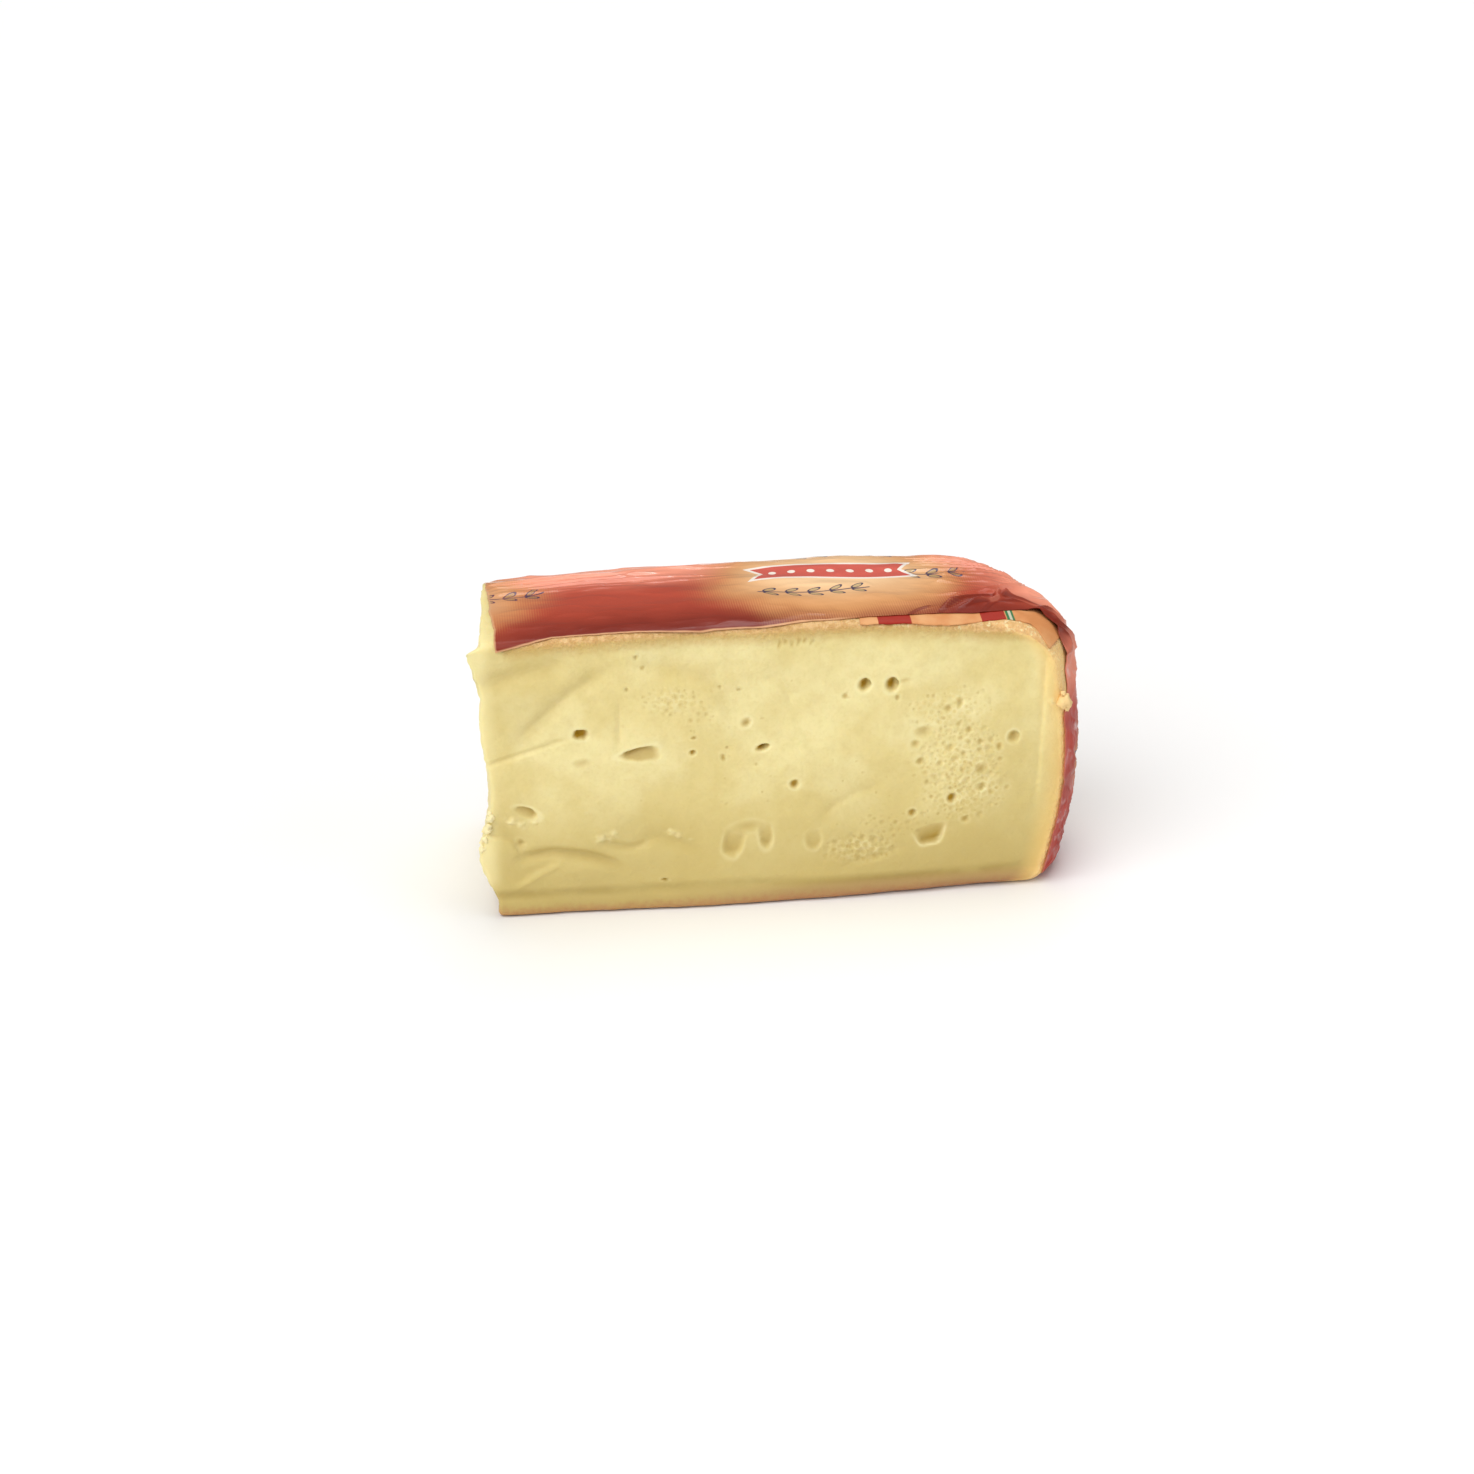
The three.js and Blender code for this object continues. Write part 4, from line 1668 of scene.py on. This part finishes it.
    def gaps(self, x: Array, z: Array) -> dict[str, Array]:
        """Distances on the cut from its edges.

        Args:
            x: place of each point along the cut.
            z: its height.

        Returns:
            The distance from each edge, by the edge's name.
        """
        plain = self.loaf.front_plane(x, z)
        return {
            "top": self.loaf.top_edge(x, self.grow) - z,
            "base": z + self.grow,
            "left": x - self.left(plain, z),
            "rim": self.loaf.right_edge(x, z, self.grow) - x,
        }

    def rounding(self, x: Array, z: Array) -> Array:
        """Rounds the long cut off along its edges.

        Args:
            x: place of each point along the cut.
            z: its height.

        Returns:
            How far it turns back at each point.
        """
        base = blend(*self.round_base, ease(x, *self.round_base_x))
        radii = {"top": self.loaf.front_edge, "base": base, "left": self.round_side, "rim": self.round_rim}
        total = np.zeros(x.shape)
        for edge, gap in self.gaps(x, z).items():
            radius = radii[edge]
            inside = np.clip(radius - gap, 0.0, radius)
            total += radius - np.sqrt(np.maximum(radius**2 - inside**2, 0.0))
        return total

    def creased(self, x: Array, z: Array) -> Array:
        """How deep all the creases together set the long cut."""
        return sum(crease.depth_at(x, z) for crease in self.creases)

    def scraps(self, x: Array, z: Array) -> Array:
        """Raises the small torn lumps on the long cut.

        Args:
            x: place of each point along the cut.
            z: its height.

        Returns:
            Their height at each point.
        """
        noise = Noise(self.seed + 5)
        shift_x, shift_z = (waves.at(noise, x, z) for waves in self.lump_shifts)
        return sum(size * hill(np.hypot(x - at_x + shift_x, self.lump_flat * (z - at_z + shift_z)), size)
                   for at_x, at_z, size in self.lumps)

    def front(self, x: Array, z: Array) -> Array:
        """Shapes the long cut with all its relief.

        Args:
            x: place along.
            z: height.

        Returns:
            The cut's place across.
        """
        noise = Noise(self.seed)
        least, change, long = self.groove_change
        depth = self.groove * (least + change * noise.at(x / long, 0.5))
        level = z + self.groove_drop * ease(x, *self.groove_drop_x)
        groove = depth * hill(level - self.groove_z, self.groove_reach)
        wave = np.sin(x / self.ripple_x) * np.sin(z / self.ripple_z - x / (2 * self.ripple_x))
        ripple = self.ripple * (1.0 + wave)
        bulges = sum(high * hill(x - at_x, reach_x) * hill(z - at_z, reach_z)
                     for at_x, at_z, reach_x, reach_z, high in self.swells)
        relief = groove + ripple + roughness(self.front_rough, noise, x, z) + self.creased(x, z)
        relief += self.marks(x, z).depth + self.rounding(x, z)
        return self.loaf.front_plane(x, z) + relief - self.lump_out * self.scraps(x, z) - bulges

    def sponge(self, x: Array, z: Array) -> Array:
        """Finds where the paste is spongy between the pores.

        Args:
            x: place of each point along the cut.
            z: its height.

        Returns:
            A share from 0 to about 1.
        """
        total = np.zeros(x.shape)
        for pores in self.fields[:self.spongy_fields]:
            away = np.hypot((x - pores.x) / pores.reach_x, (z - pores.z) / pores.reach_z)
            total = np.maximum(total, 1.0 - ease(away, *self.sponge_edge))
        least, change, long = self.sponge_change
        return total * (least + change * Noise(self.seed + 4).at(x / long, z / long))

    def step_at(self, spots: Array, fine: Spot) -> Array:
        """Chooses how far the next point of the cut lies, nearer among the small pores.

        Args:
            spots: places along or up the cut.
            fine: where the fine steps start and end.

        Returns:
            The step at each place.
        """
        start = ease(spots, fine[0] - self.fine_change, fine[0])
        stop = ease(spots, fine[1], fine[1] + self.fine_change)
        return blend(self.spacing, self.fine_spacing, start * (1.0 - stop))

    def steps(self, low: float, high: float, fine: Spot) -> Array:
        """Steps over the cut that are finer among the small pores."""
        return graded(low, high, functools.partial(self.step_at, fine=fine))

    def net(self) -> tuple[Net, Array]:
        """Shapes the cheese.

        Returns:
            The net with its notes, and a mask of what the film hides.
        """
        loaf = self.loaf
        ends = -loaf.length / 2, loaf.end_x + loaf.end_radius * math.cos(loaf.rim_flare)
        along = (self.steps(*ends, self.fine_x) - ends[0]) / (ends[1] - ends[0])
        up = loaf.share_up(self.steps(0.0, loaf.height, self.fine_z))
        deep = np.linspace(0.0, 1.0, self.deep_steps) ** self.deep_crowding
        share_along, share_deep, share_up, faces = Lattice(along, deep, up, tuple(Face)).build()
        points = loaf.place(share_along, share_deep, share_up, self.grow, self.front, self.left)
        x, _, z = points.T
        cut = share_deep < TINY
        end = share_along < TINY
        gaps = self.gaps(x, z)
        brim_top = blend(*self.brim_top, ease(x, *self.brim_top_x))
        brim = np.minimum(gaps["top"] / brim_top, gaps["rim"] / self.brim_rim)
        bare = self.no_brim * (1.0 - ease(x, *self.brim_x))
        marks = self.marks(x, z)
        # Painted shade in the eyes and along the creases, and painted highlight on the eyes' brinks, with
        # the torn lumps made paler.
        valleys = np.clip(self.creased(x, z), 0.0, 1.0)
        brink = np.minimum(marks.brink + self.lump_pale * self.scraps(x, z), self.palest)
        notes = {
            "shade": np.where(cut, np.maximum(marks.shade, self.crease_shade * valleys), 0.0),
            "brink": np.where(cut, brink * (1.0 - marks.shade), 0.0),
            "rim": np.where(end, self.no_rim, gaps["rim"]),
            "brim": np.where(end, self.no_brim, np.where(cut, brim, 0.0) + bare),
            "sponge": np.where(cut, self.sponge(x, z), 0.0),
        }
        hidden = ~cut & ~end & (share_deep > self.hidden_deep) & (share_along > self.hidden_along)
        return Net(points, faces, notes), hidden

    def build(self, workshop: Workshop) -> None:
        """Makes the piece that stands for the cheese.

        Args:
            workshop: maker of pieces.
        """
        net, hidden = self.net()
        keep = self.triangles / (2 * len(net.faces))
        piece = workshop.piece("paste", net, self.finish.material(), hidden, keep)
        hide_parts("cheese")


@dataclass
class Crumbs:
    """Small torn bits that cling to the short cut and to the rim.

    Attributes:
        bits: places along, across and up, and sizes.
    """

    finish: CrumbFinish = field(default_factory=CrumbFinish)
    seed: int = 41
    bits: tuple[tuple[float, float, float, float], ...] = (
        (-60.3, -21.5, 22.9, 0.5), (-60.2, -21.8, 21.9, 0.75), (-60.6, -20.6, 20.9, 0.55),
        (-60.7, -21.9, 20.2, 0.5), (-60.9, -21.3, 19.1, 0.85), (-61.6, -20.0, 18.4, 0.5),
        (-61.6, -21.8, 17.4, 0.7), (-62.1, -20.9, 16.2, 0.5), (-62.0, -21.8, 15.3, 0.7),
        (-62.4, -20.4, 14.6, 0.45), (55.2, -21.8, 40.9, 1.35), (55.9, -21.4, 39.6, 0.9),
        (54.9, -22.0, 42.7, 0.5),
    )
    around_steps: int = 18
    over_steps: int = 11
    closed: float = 0.98
    lumpy: float = 0.5
    lump_scale: float = 1.4
    lump_shift: float = 7.0
    warm_x: float = 0.0

    def net(self) -> Net:
        """Shapes the bits from one round lump each.

        Returns:
            The net, with a note of which bits are warm.
        """
        noise = Noise(self.seed)
        size = (self.around_steps, self.over_steps)
        around, over = np.meshgrid(*(np.arange(steps) for steps in size), indexing="ij")
        turn = around * math.tau / self.around_steps
        rise = (over / (self.over_steps - 1) - 0.5) * math.pi * self.closed
        ball = np.stack((np.cos(turn) * np.cos(rise), np.sin(turn) * np.cos(rise), np.sin(rise)), axis=-1)
        ball = ball.reshape(-1, 3)
        grid = np.arange(len(ball)).reshape(size)
        beside = np.roll(grid, -1, axis=0)
        quads = np.stack((grid[:, :-1], beside[:, :-1], beside[:, 1:], grid[:, 1:]), axis=-1).reshape(-1, 4)
        faces, points = [], []
        for i, (*place, reach) in enumerate(self.bits):
            uneven = noise.layers(*(ball * self.lump_scale + self.lump_shift * i).T, 2)
            points.append(np.array(place) + ball * (reach * (1.0 + self.lumpy * uneven))[:, None])
            faces.append(quads + i * len(ball))
        spots = np.concatenate(points)
        warm = np.where(spots[:, 0] > self.warm_x, 1.0, 0.0)
        return Net(spots, np.concatenate(faces), {"warm": warm})

    def build(self, workshop: Workshop) -> None:
        """Makes the crumbs.

        Args:
            workshop: maker of pieces.
        """
        piece = workshop.piece("crumbs", self.net(), self.finish.material())


@dataclass
class Film:
    """The printed film over top, back, rim and base, crinkled and trimmed unevenly at the cuts."""

    loaf: Loaf
    finish: FilmFinish = field(default_factory=FilmFinish)
    thickness: float = 0.14
    along_steps: int = 260
    deep_steps: int = 130
    up_steps: int = 90
    along_crowding: Spot = (1.5, 0.6)
    deep_crowding: Spot = (2.0, 0.4)
    base_seen: float = 0.05
    inside_seen: float = 2.0
    triangles: int = 180_000
    seed: int = 23
    top_trim_x: tuple[float, ...] = (-36.0, -18.0, -6.0, 2.0, 14.0, 24.0, 32.0, 38.0, 43.0, 49.0, 56.0)
    top_trim: tuple[float, ...] = (1.2, 0.4, 0.7, 2.0, 2.5, 3.8, 4.4, 6.3, 9.0, 7.4, 1.8)
    rim_trim: float = 0.1
    rim_trim_z: Spot = (34.0, 50.0)
    base_trim: Spot = (2.2, 3.4)
    base_trim_x: Spot = (-15.0, 40.0)
    base_trim_z: Spot = (0.5, 3.0)
    left_trim: Spot = (3.3, -0.2)
    front_waves: tuple[Waves, ...] = (Waves(0.3, (9.0, 5.0)), Waves(0.15, (2.4, 1.8)))
    left_waves: tuple[Waves, ...] = (Waves(0.35, (6.0, 5.0)), Waves(0.12, (1.5, 1.5)))
    rim_proud: float = 0.65
    rim_proud_z: Spot = (2.0, 12.0)
    ragged: float = 0.45
    ragged_long: float = 2.4
    notch: float = 2.0
    notch_z: float = 42.0
    notch_reach: float = 3.0
    lip_x: Spot = (-58.0, -47.0)
    lip_hang: float = 2.2
    lift: float = 0.12
    lift_x: float = 15.5
    lift_y: float = -11.0
    lift_z: float = 48.0
    lift_slope: float = 6.0
    puff: float = 0.5
    puff_x: Spot = (30.0, 54.0)
    puff_slopes: Spot = (8.0, 6.0)
    puff_in: float = 3.0
    puff_reach: float = 2.4
    held: float = 0.1
    held_in: Spot = (0.2, 3.0)
    flat_z: Spot = (0.4, 3.0)
    sharp_y: Spot = (-13.0, -6.0)
    sharp_z: Spot = (50.0, 55.0)
    turn_start: float = 0.5
    upper: Spot = (14.0, 6.0)
    shoulder_z: Spot = (44.0, 52.0)
    pleat: float = 0.7
    roll: Spot = (0.1, 0.4)
    gather: float = 1.2
    crush: float = 0.5
    wall_fold: float = 0.35
    fine: Spot = (0.1, 0.05)
    folds: tuple[Crease, ...] = (
        Crease(((28.5, -21.0), (30.5, -16.0), (36.0, -11.0), (46.0, -8.5), (56.0, -8.0)),
               0.8, -1.3, 0.5, 4.0),
        Crease(((32.0, -19.0), (35.5, -14.5), (43.0, -10.5), (52.0, -11.0)), 0.6, -1.0, 0.4, 3.0),
        Crease(((37.0, -19.0), (40.5, -14.0), (43.5, -10.0), (45.0, -4.0)), 0.55, -1.1, 0.4, 3.0),
        Crease(((43.0, -17.0), (48.0, -13.5), (56.0, -11.0)), 0.6, -1.0, 0.4, 3.0),
        Crease(((22.0, -21.5), (24.5, -17.0), (31.0, -14.0)), 0.6, -0.6, 0.2, 3.0),
    )

    def front(self, x: Array, z: Array) -> Array:
        """Trims the film along the long cut.

        Args:
            x: place along.
            z: height.

        Returns:
            Where the film starts across.
        """
        noise = Noise(self.seed)
        loaf = self.loaf
        high = ease(z, loaf.height - 2 * loaf.shoulder, loaf.height - loaf.shoulder)
        low = 1.0 - ease(z, *self.base_trim_z)
        right = ease(x, loaf.end_x, loaf.length / 2)
        wave = roughness(self.front_waves, noise, x, z)
        top = np.interp(x, self.top_trim_x, self.top_trim)
        base = blend(*self.base_trim, ease(x, *self.base_trim_x))
        trim = blend(self.rim_trim, top, ease(z, *self.rim_trim_z)) + base * low
        notch = self.notch * hill(z - self.notch_z, self.notch_reach) * right
        proud = self.rim_proud * ease(z, *self.rim_proud_z)
        ragged = self.ragged * noise.layers(z / self.ragged_long, 4.0, 1.0, 2)
        ragged = (ragged - proud) * right * (1.0 - high)
        start, stop = self.lip_x
        lip = self.lip_hang * np.clip((stop - x) / (stop - start), 0.0, 1.0) * high
        return loaf.front_plane(x, z) + trim + wave + notch + ragged - lip

    def left(self, y: Array, z: Array) -> Array:
        """Trims the film along the short cut.

        Args:
            y: place across.
            z: height.

        Returns:
            Where the film starts along.
        """
        noise = Noise(self.seed + 1)
        wave = roughness(self.left_waves, noise, y, z)
        return self.loaf.left_plane(y, z) + blend(*self.left_trim, y / self.loaf.depth + 0.5) + wave

    def on_top(self, z: Array) -> Array:
        """How far a height belongs to the top rather than to the wall, from 0 to 1."""
        return ease(z, *(self.loaf.height - below for below in self.upper))

    def lifted(self, x: Array, y: Array, z: Array) -> Array:
        """Lifts the film over the label band.

        Args:
            x: place along.
            y: place across.
            z: height.

        Returns:
            How far it is lifted.
        """
        along = ease(x, self.lift_x - self.lift_slope, self.lift_x)
        across = 1.0 - ease(y, self.lift_y, self.lift_y + self.lift_slope)
        return self.lift * along * across * ease(z, self.lift_z - self.lift_slope, self.lift_z)

    def top_folds(self, noise: Noise, x: Array, y: Array, z: Array) -> Array:
        """Lays long pleats at the back of the top and soft rolls all over it.

        Args:
            noise: the film's noise.
            x: place along.
            y: place across.
            z: height.

        Returns:
            Their height.
        """
        left_back = ease(y, 0.0, 10.0) * (1.0 - ease(x, -30.0, 0.0))
        right_back = 0.8 * ease(y, -6.0, 6.0) * ease(x, 24.0, 38.0)
        crests = noise.ridge(x / 40.0, y / 2.4 + x / 70.0, z / 3.0)
        pleats = self.pleat * crests * (left_back + right_back)
        rolls = self.roll[0] + self.roll[1] * noise.at(x / 14.0 + y / 30.0, y / 6.0, 5.0)
        return (pleats + rolls) * self.on_top(z)

    def corner_folds(self, noise: Noise, x: Array, y: Array, z: Array) -> tuple[Array, Array]:
        """Gathers the film over the right shoulder.

        Args:
            noise: the film's noise.
            x: place along.
            y: place across.
            z: height.

        Returns:
            The height of the loose gathers, and of the drawn folds.
        """
        corner = ease(x, 26.0, 44.0) * (1.0 - ease(y, -4.0, 14.0)) * ease(z, 38.0, 50.0)
        gather = self.gather * noise.ridge(x / 16.0 + y / 30.0, y / 6.0 - x / 15.0, z / 9.0 + 3.0) * corner
        drawn = -sum(fold.depth_at(x, y) for fold in self.folds) * ease(z, *self.shoulder_z)
        return gather, drawn

    def wall_folds(self, noise: Noise, x: Array, y: Array, z: Array) -> Array:
        """Crushes the film on the rounded end and folds it on the back.

        Args:
            noise: the film's noise.
            x: place along.
            y: place across.
            z: height.

        Returns:
            The height of the folds.
        """
        end = ease(x, 46.0, 56.0) * (1.0 - ease(z, 46.0, 54.0)) * ease(z, 1.0, 6.0)
        crush = self.crush * noise.ridge(y / 4.0 + z / 9.0, z / 4.0, x / 7.0 + 8.0) * end
        back = ease(y, 14.0, 22.0) * (1.0 - self.on_top(z))
        return crush + self.wall_fold * noise.ridge(x / 9.0 + z / 12.0, y / 9.0, z / 7.0 + 13.0) * back

    def crinkles(self, points: Array, edge: Array) -> tuple[Array, Array]:
        """Measures how far the film stands off the loaf.

        Args:
            points: the smooth film.
            edge: distance of each point from the film's own edge.

        Returns:
            The height at each point, and the height of the sharp folds by themselves.
        """
        x, y, z = points.T
        noise = Noise(self.seed + 2)
        gather, drawn = self.corner_folds(noise, x, y, z)
        fine = self.fine[0] * noise.ridge(x / 9.0, y / 5.0, z / 4.5 + 21.0)
        fine = fine + self.fine[1] * noise.layers(x / 4.0, y / 3.0, z / 3.0, 2)
        folds = self.top_folds(noise, x, y, z) + gather + drawn + self.wall_folds(noise, x, y, z) + fine
        held = blend(self.held, 1.0, ease(edge, *self.held_in))
        start, stop = self.puff_x
        rise, fall = self.puff_slopes
        along = ease(x, start, start + rise) * (1.0 - ease(x, stop - fall, stop))
        puff = self.puff * hill(edge - self.puff_in, self.puff_reach) * along * ease(z, *self.shoulder_z)
        height = self.lifted(x, y, z) + (np.maximum(folds, 0.0) * held + puff) * ease(z, *self.flat_z)
        sharp = gather * (1.0 - ease(y, *self.sharp_y)) + drawn
        return height, sharp * ease(z, *self.sharp_z)

    def unrolled(self, points: Array, up: Array) -> dict[str, Array]:
        """Lays the film out flat, for its print.

        Args:
            points: the film.
            up: share of each point from base to top.

        Returns:
            Each point's place on the top, with how far it has turned down beside it, and on the wall.
        """
        x, y, _ = points.T
        loaf = self.loaf
        drop = loaf.height - loaf.profile(up, 0.0)[1]
        turned = ease(drop, self.turn_start, loaf.shoulder)
        round_end = np.maximum(np.arctan2(np.maximum(x - loaf.end_x, 0.0), y - loaf.end_y), 0.0)
        around = np.minimum(x, loaf.end_x) + loaf.length / 2 + loaf.end_radius * round_end
        top = np.stack((x, y, turned), axis=1)
        return {"print": top, "wall": np.stack((around, drop, turned), axis=1)}

    def net(self) -> tuple[Net, Array]:
        """Shapes the film.

        Returns:
            The closed net with its notes, and a mask of what is out of sight.
        """
        loaf = self.loaf
        along = np.linspace(0.0, 1.0, self.along_steps)
        power, share = self.along_crowding
        along = blend(along, 1.0 - (1.0 - along) ** power, share)
        deep = np.linspace(0.0, 1.0, self.deep_steps)
        power, share = self.deep_crowding
        deep = blend(deep, deep**power, share)
        up = np.linspace(0.0, 1.0, self.up_steps)
        sides = (Face.TOP, Face.RIM, Face.BACK, Face.BASE)
        share_along, share_deep, share_up, faces = Lattice(along, deep, up, sides).build()
        plain = loaf.place(share_along, share_deep, share_up, 0.0, self.front, self.left)
        x, y, z = plain.T
        edge = np.minimum(y - self.front(x, z), x - self.left(y, z))
        grow, fold = self.crinkles(plain, edge)
        points = loaf.place(share_along, share_deep, share_up, grow, self.front, self.left)
        points[:, 2] = np.maximum(points[:, 2], 0.0)
        points = loaf.drape(points, share_up > 1.0 - TINY)
        notes = {**self.unrolled(plain, share_up), "edge": edge, "fold": fold}
        net = Net(points, faces, notes).thicken(self.thickness)
        base = np.tile((share_up < TINY) & (share_deep > self.base_seen), 2)
        inner = (net.notes.pop("inside") > 0.5) & (np.tile(edge, 2) > self.inside_seen)
        return net, base | inner

    def build(self, workshop: Workshop) -> None:
        """Makes the piece that stands for the film.

        Args:
            workshop: maker of pieces.
        """
        net, hidden = self.net()
        keep = min(self.triangles / (2 * len(net.faces)), 1.0)
        piece = workshop.piece("film_wrap", net, self.finish.material(), hidden, keep)
        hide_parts("film")


@dataclass
class Band:
    """The label band under the film, along the front of the top and turned down over the rim."""

    loaf: Loaf
    finish: BandFinish = field(default_factory=BandFinish)
    thickness: float = 0.14
    grow: float = -0.1
    start_x: float = 15.5
    end_up: float = 0.82
    wide: float = 0.2
    setbacks: tuple[float, float, float] = (0.5, 3.2, 0.6)
    setback_x: tuple[Spot, Spot] = ((29.0, 41.0), (45.0, 52.0))
    slant: float = 0.1
    waves: tuple[Waves, ...] = (Waves(0.2, (4.0, 4.0)), Waves(0.12, (1.2, 1.2)))
    ripple: float = 0.12
    ripple_x: Spot = (30.0, 48.0)
    along_steps: int = 110
    deep_steps: int = 26
    up_steps: int = 34
    seed: int = 31

    def front(self, x: Array, z: Array) -> Array:
        """Lays the band's front edge behind the long cut.

        Args:
            x: place along.
            z: height.

        Returns:
            Where the band starts across.
        """
        first, second = (ease(x, *span) for span in self.setback_x)
        low, middle, high = self.setbacks
        setback = blend(blend(low, middle, first), high, second)
        return self.loaf.front_plane(x, z) + setback + roughness(self.waves, Noise(self.seed), x, z)

    def left(self, y: Array, z: Array) -> Array:
        """Where the band starts along the top, the same at every height."""
        return self.start_x + self.slant * y

    def net(self) -> Net:
        """Shapes the band.

        Returns:
            The closed net, with its places for the print.
        """
        along = np.linspace(0.0, 1.0, self.along_steps)
        deep = np.linspace(0.0, self.wide, self.deep_steps)
        up = np.linspace(self.end_up, 1.0, self.up_steps)
        *shares, faces = Lattice(along, deep, up, (Face.TOP, Face.RIM)).build()
        plain = self.loaf.place(*shares, self.grow, self.front, self.left)
        x, y, z = plain.T
        noise = Noise(self.seed + 1)
        ripple = self.ripple * noise.ridge(x / 6.0, y / 3.0, z / 4.0) * ease(x, *self.ripple_x)
        points = self.loaf.place(*shares, self.grow + ripple, self.front, self.left)
        points = self.loaf.drape(points, shares[2] > 1.0 - TINY)
        net = Net(points, faces, {"print": np.stack((x, y, z), axis=1)}).thicken(self.thickness)
        net.notes.pop("inside")
        return net

    def build(self, workshop: Workshop) -> None:
        """Makes the piece that stands for the label.

        Args:
            workshop: maker of pieces.
        """
        piece = workshop.piece("label_band", self.net(), self.finish.material())
        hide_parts("label")


@dataclass(frozen=True)
class Lamp:
    """A broad distant light.

    Attributes:
        name: what it is for.
        come_from: the direction that its light comes from.
        strength: its strength.
        spread: how wide it looks, in degrees.
    """

    name: str
    come_from: tuple[float, float, float]
    strength: float
    spread: float

    def hang(self) -> None:
        """Puts the light into the scene."""
        lamp = bpy.data.lights.new(self.name, "SUN")
        lamp.energy = self.strength
        lamp.angle = math.radians(self.spread)
        piece = bpy.data.objects.new(self.name, lamp)
        piece.rotation_euler = Vector(self.come_from).to_track_quat("Z", "Y").to_euler()
        bpy.context.scene.collection.objects.link(piece)


@dataclass
class Studio:
    """Plain pale floor, soft light and the camera at the photograph's angle."""

    floor_side: float = 6.0
    camera_at: tuple[float, float, float] = (-65.0, -443.5, 227.0)
    camera_turn: float = 7.3
    camera_tip: float = 24.1
    focal_pixels: float = 2350.0
    image_pixels: float = 1474.0
    sensor: float = 36.0
    clip: Spot = (0.01, 100.0)
    sky: float = 0.12
    lamps: tuple[Lamp, ...] = (
        Lamp("key", (-0.5, -0.5, 0.71), 2.4, 60.0),
        Lamp("top", (0.1, 0.25, 0.96), 1.4, 50.0),
        Lamp("fill", (0.8, -0.35, 0.5), 0.6, 50.0),
        Lamp("glint", (0.15, 0.62, 0.77), 0.12, 9.0),
    )

    def floor(self) -> None:
        """Lays the floor."""
        half = self.floor_side / 2
        corners = [(-half, -half, 0.0), (half, -half, 0.0), (half, half, 0.0), (-half, half, 0.0)]
        mesh = bpy.data.meshes.new("floor")
        mesh.from_pydata(corners, [], [(0, 1, 2, 3)])
        mesh.materials.append(FloorFinish().material())
        floor = bpy.data.objects.new("floor", mesh)
        bpy.context.scene.collection.objects.link(floor)

    def light(self) -> None:
        """Hangs the soft lights under a pale sky."""
        for lamp in self.lamps:
            lamp.hang()
        world = bpy.data.worlds.new("studio")
        world.use_nodes = True
        sky = world.node_tree.nodes["Background"].inputs
        sky["Color"].default_value = (1.0, 1.0, 1.0, 1.0)
        sky["Strength"].default_value = self.sky
        bpy.context.scene.world = world

    def camera(self, workshop: Workshop) -> None:
        """Sets the camera up.

        Args:
            workshop: maker of pieces, which knows where the loaf lies in the frame.
        """
        lens = bpy.data.cameras.new("camera")
        lens.sensor_width = self.sensor
        lens.lens = self.sensor * self.focal_pixels / self.image_pixels
        lens.clip_start, lens.clip_end = self.clip
        camera = bpy.data.objects.new("camera", lens)
        camera.location = (np.array(self.camera_at) + workshop.shift) * MM
        camera.rotation_euler = (math.radians(90.0 - self.camera_tip), 0.0, math.radians(-self.camera_turn))
        bpy.context.scene.collection.objects.link(camera)
        bpy.context.scene.camera = camera

    def build(self, workshop: Workshop) -> None:
        """Sets the whole studio up round the piece.

        Args:
            workshop: maker of pieces, which knows where the loaf lies in the frame.
        """
        self.floor()
        self.light()
        self.camera(workshop)
        bpy.context.scene.view_settings.view_transform = "Standard"


def main() -> None:
    """Dresses the frame."""
    logging.basicConfig(level=logging.INFO, format="%(name)s %(message)s")
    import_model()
    loaf = Loaf()
    film_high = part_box("film")[1]
    workshop = Workshop((film_high[0] / MM - loaf.length / 2, film_high[1] / MM - loaf.depth / 2))
    Paste(loaf).build(workshop)
    Film(loaf).build(workshop)
    Band(loaf).build(workshop)
    Crumbs().build(workshop)
    Studio().build(workshop)


if __name__ == "__main__":
    main()
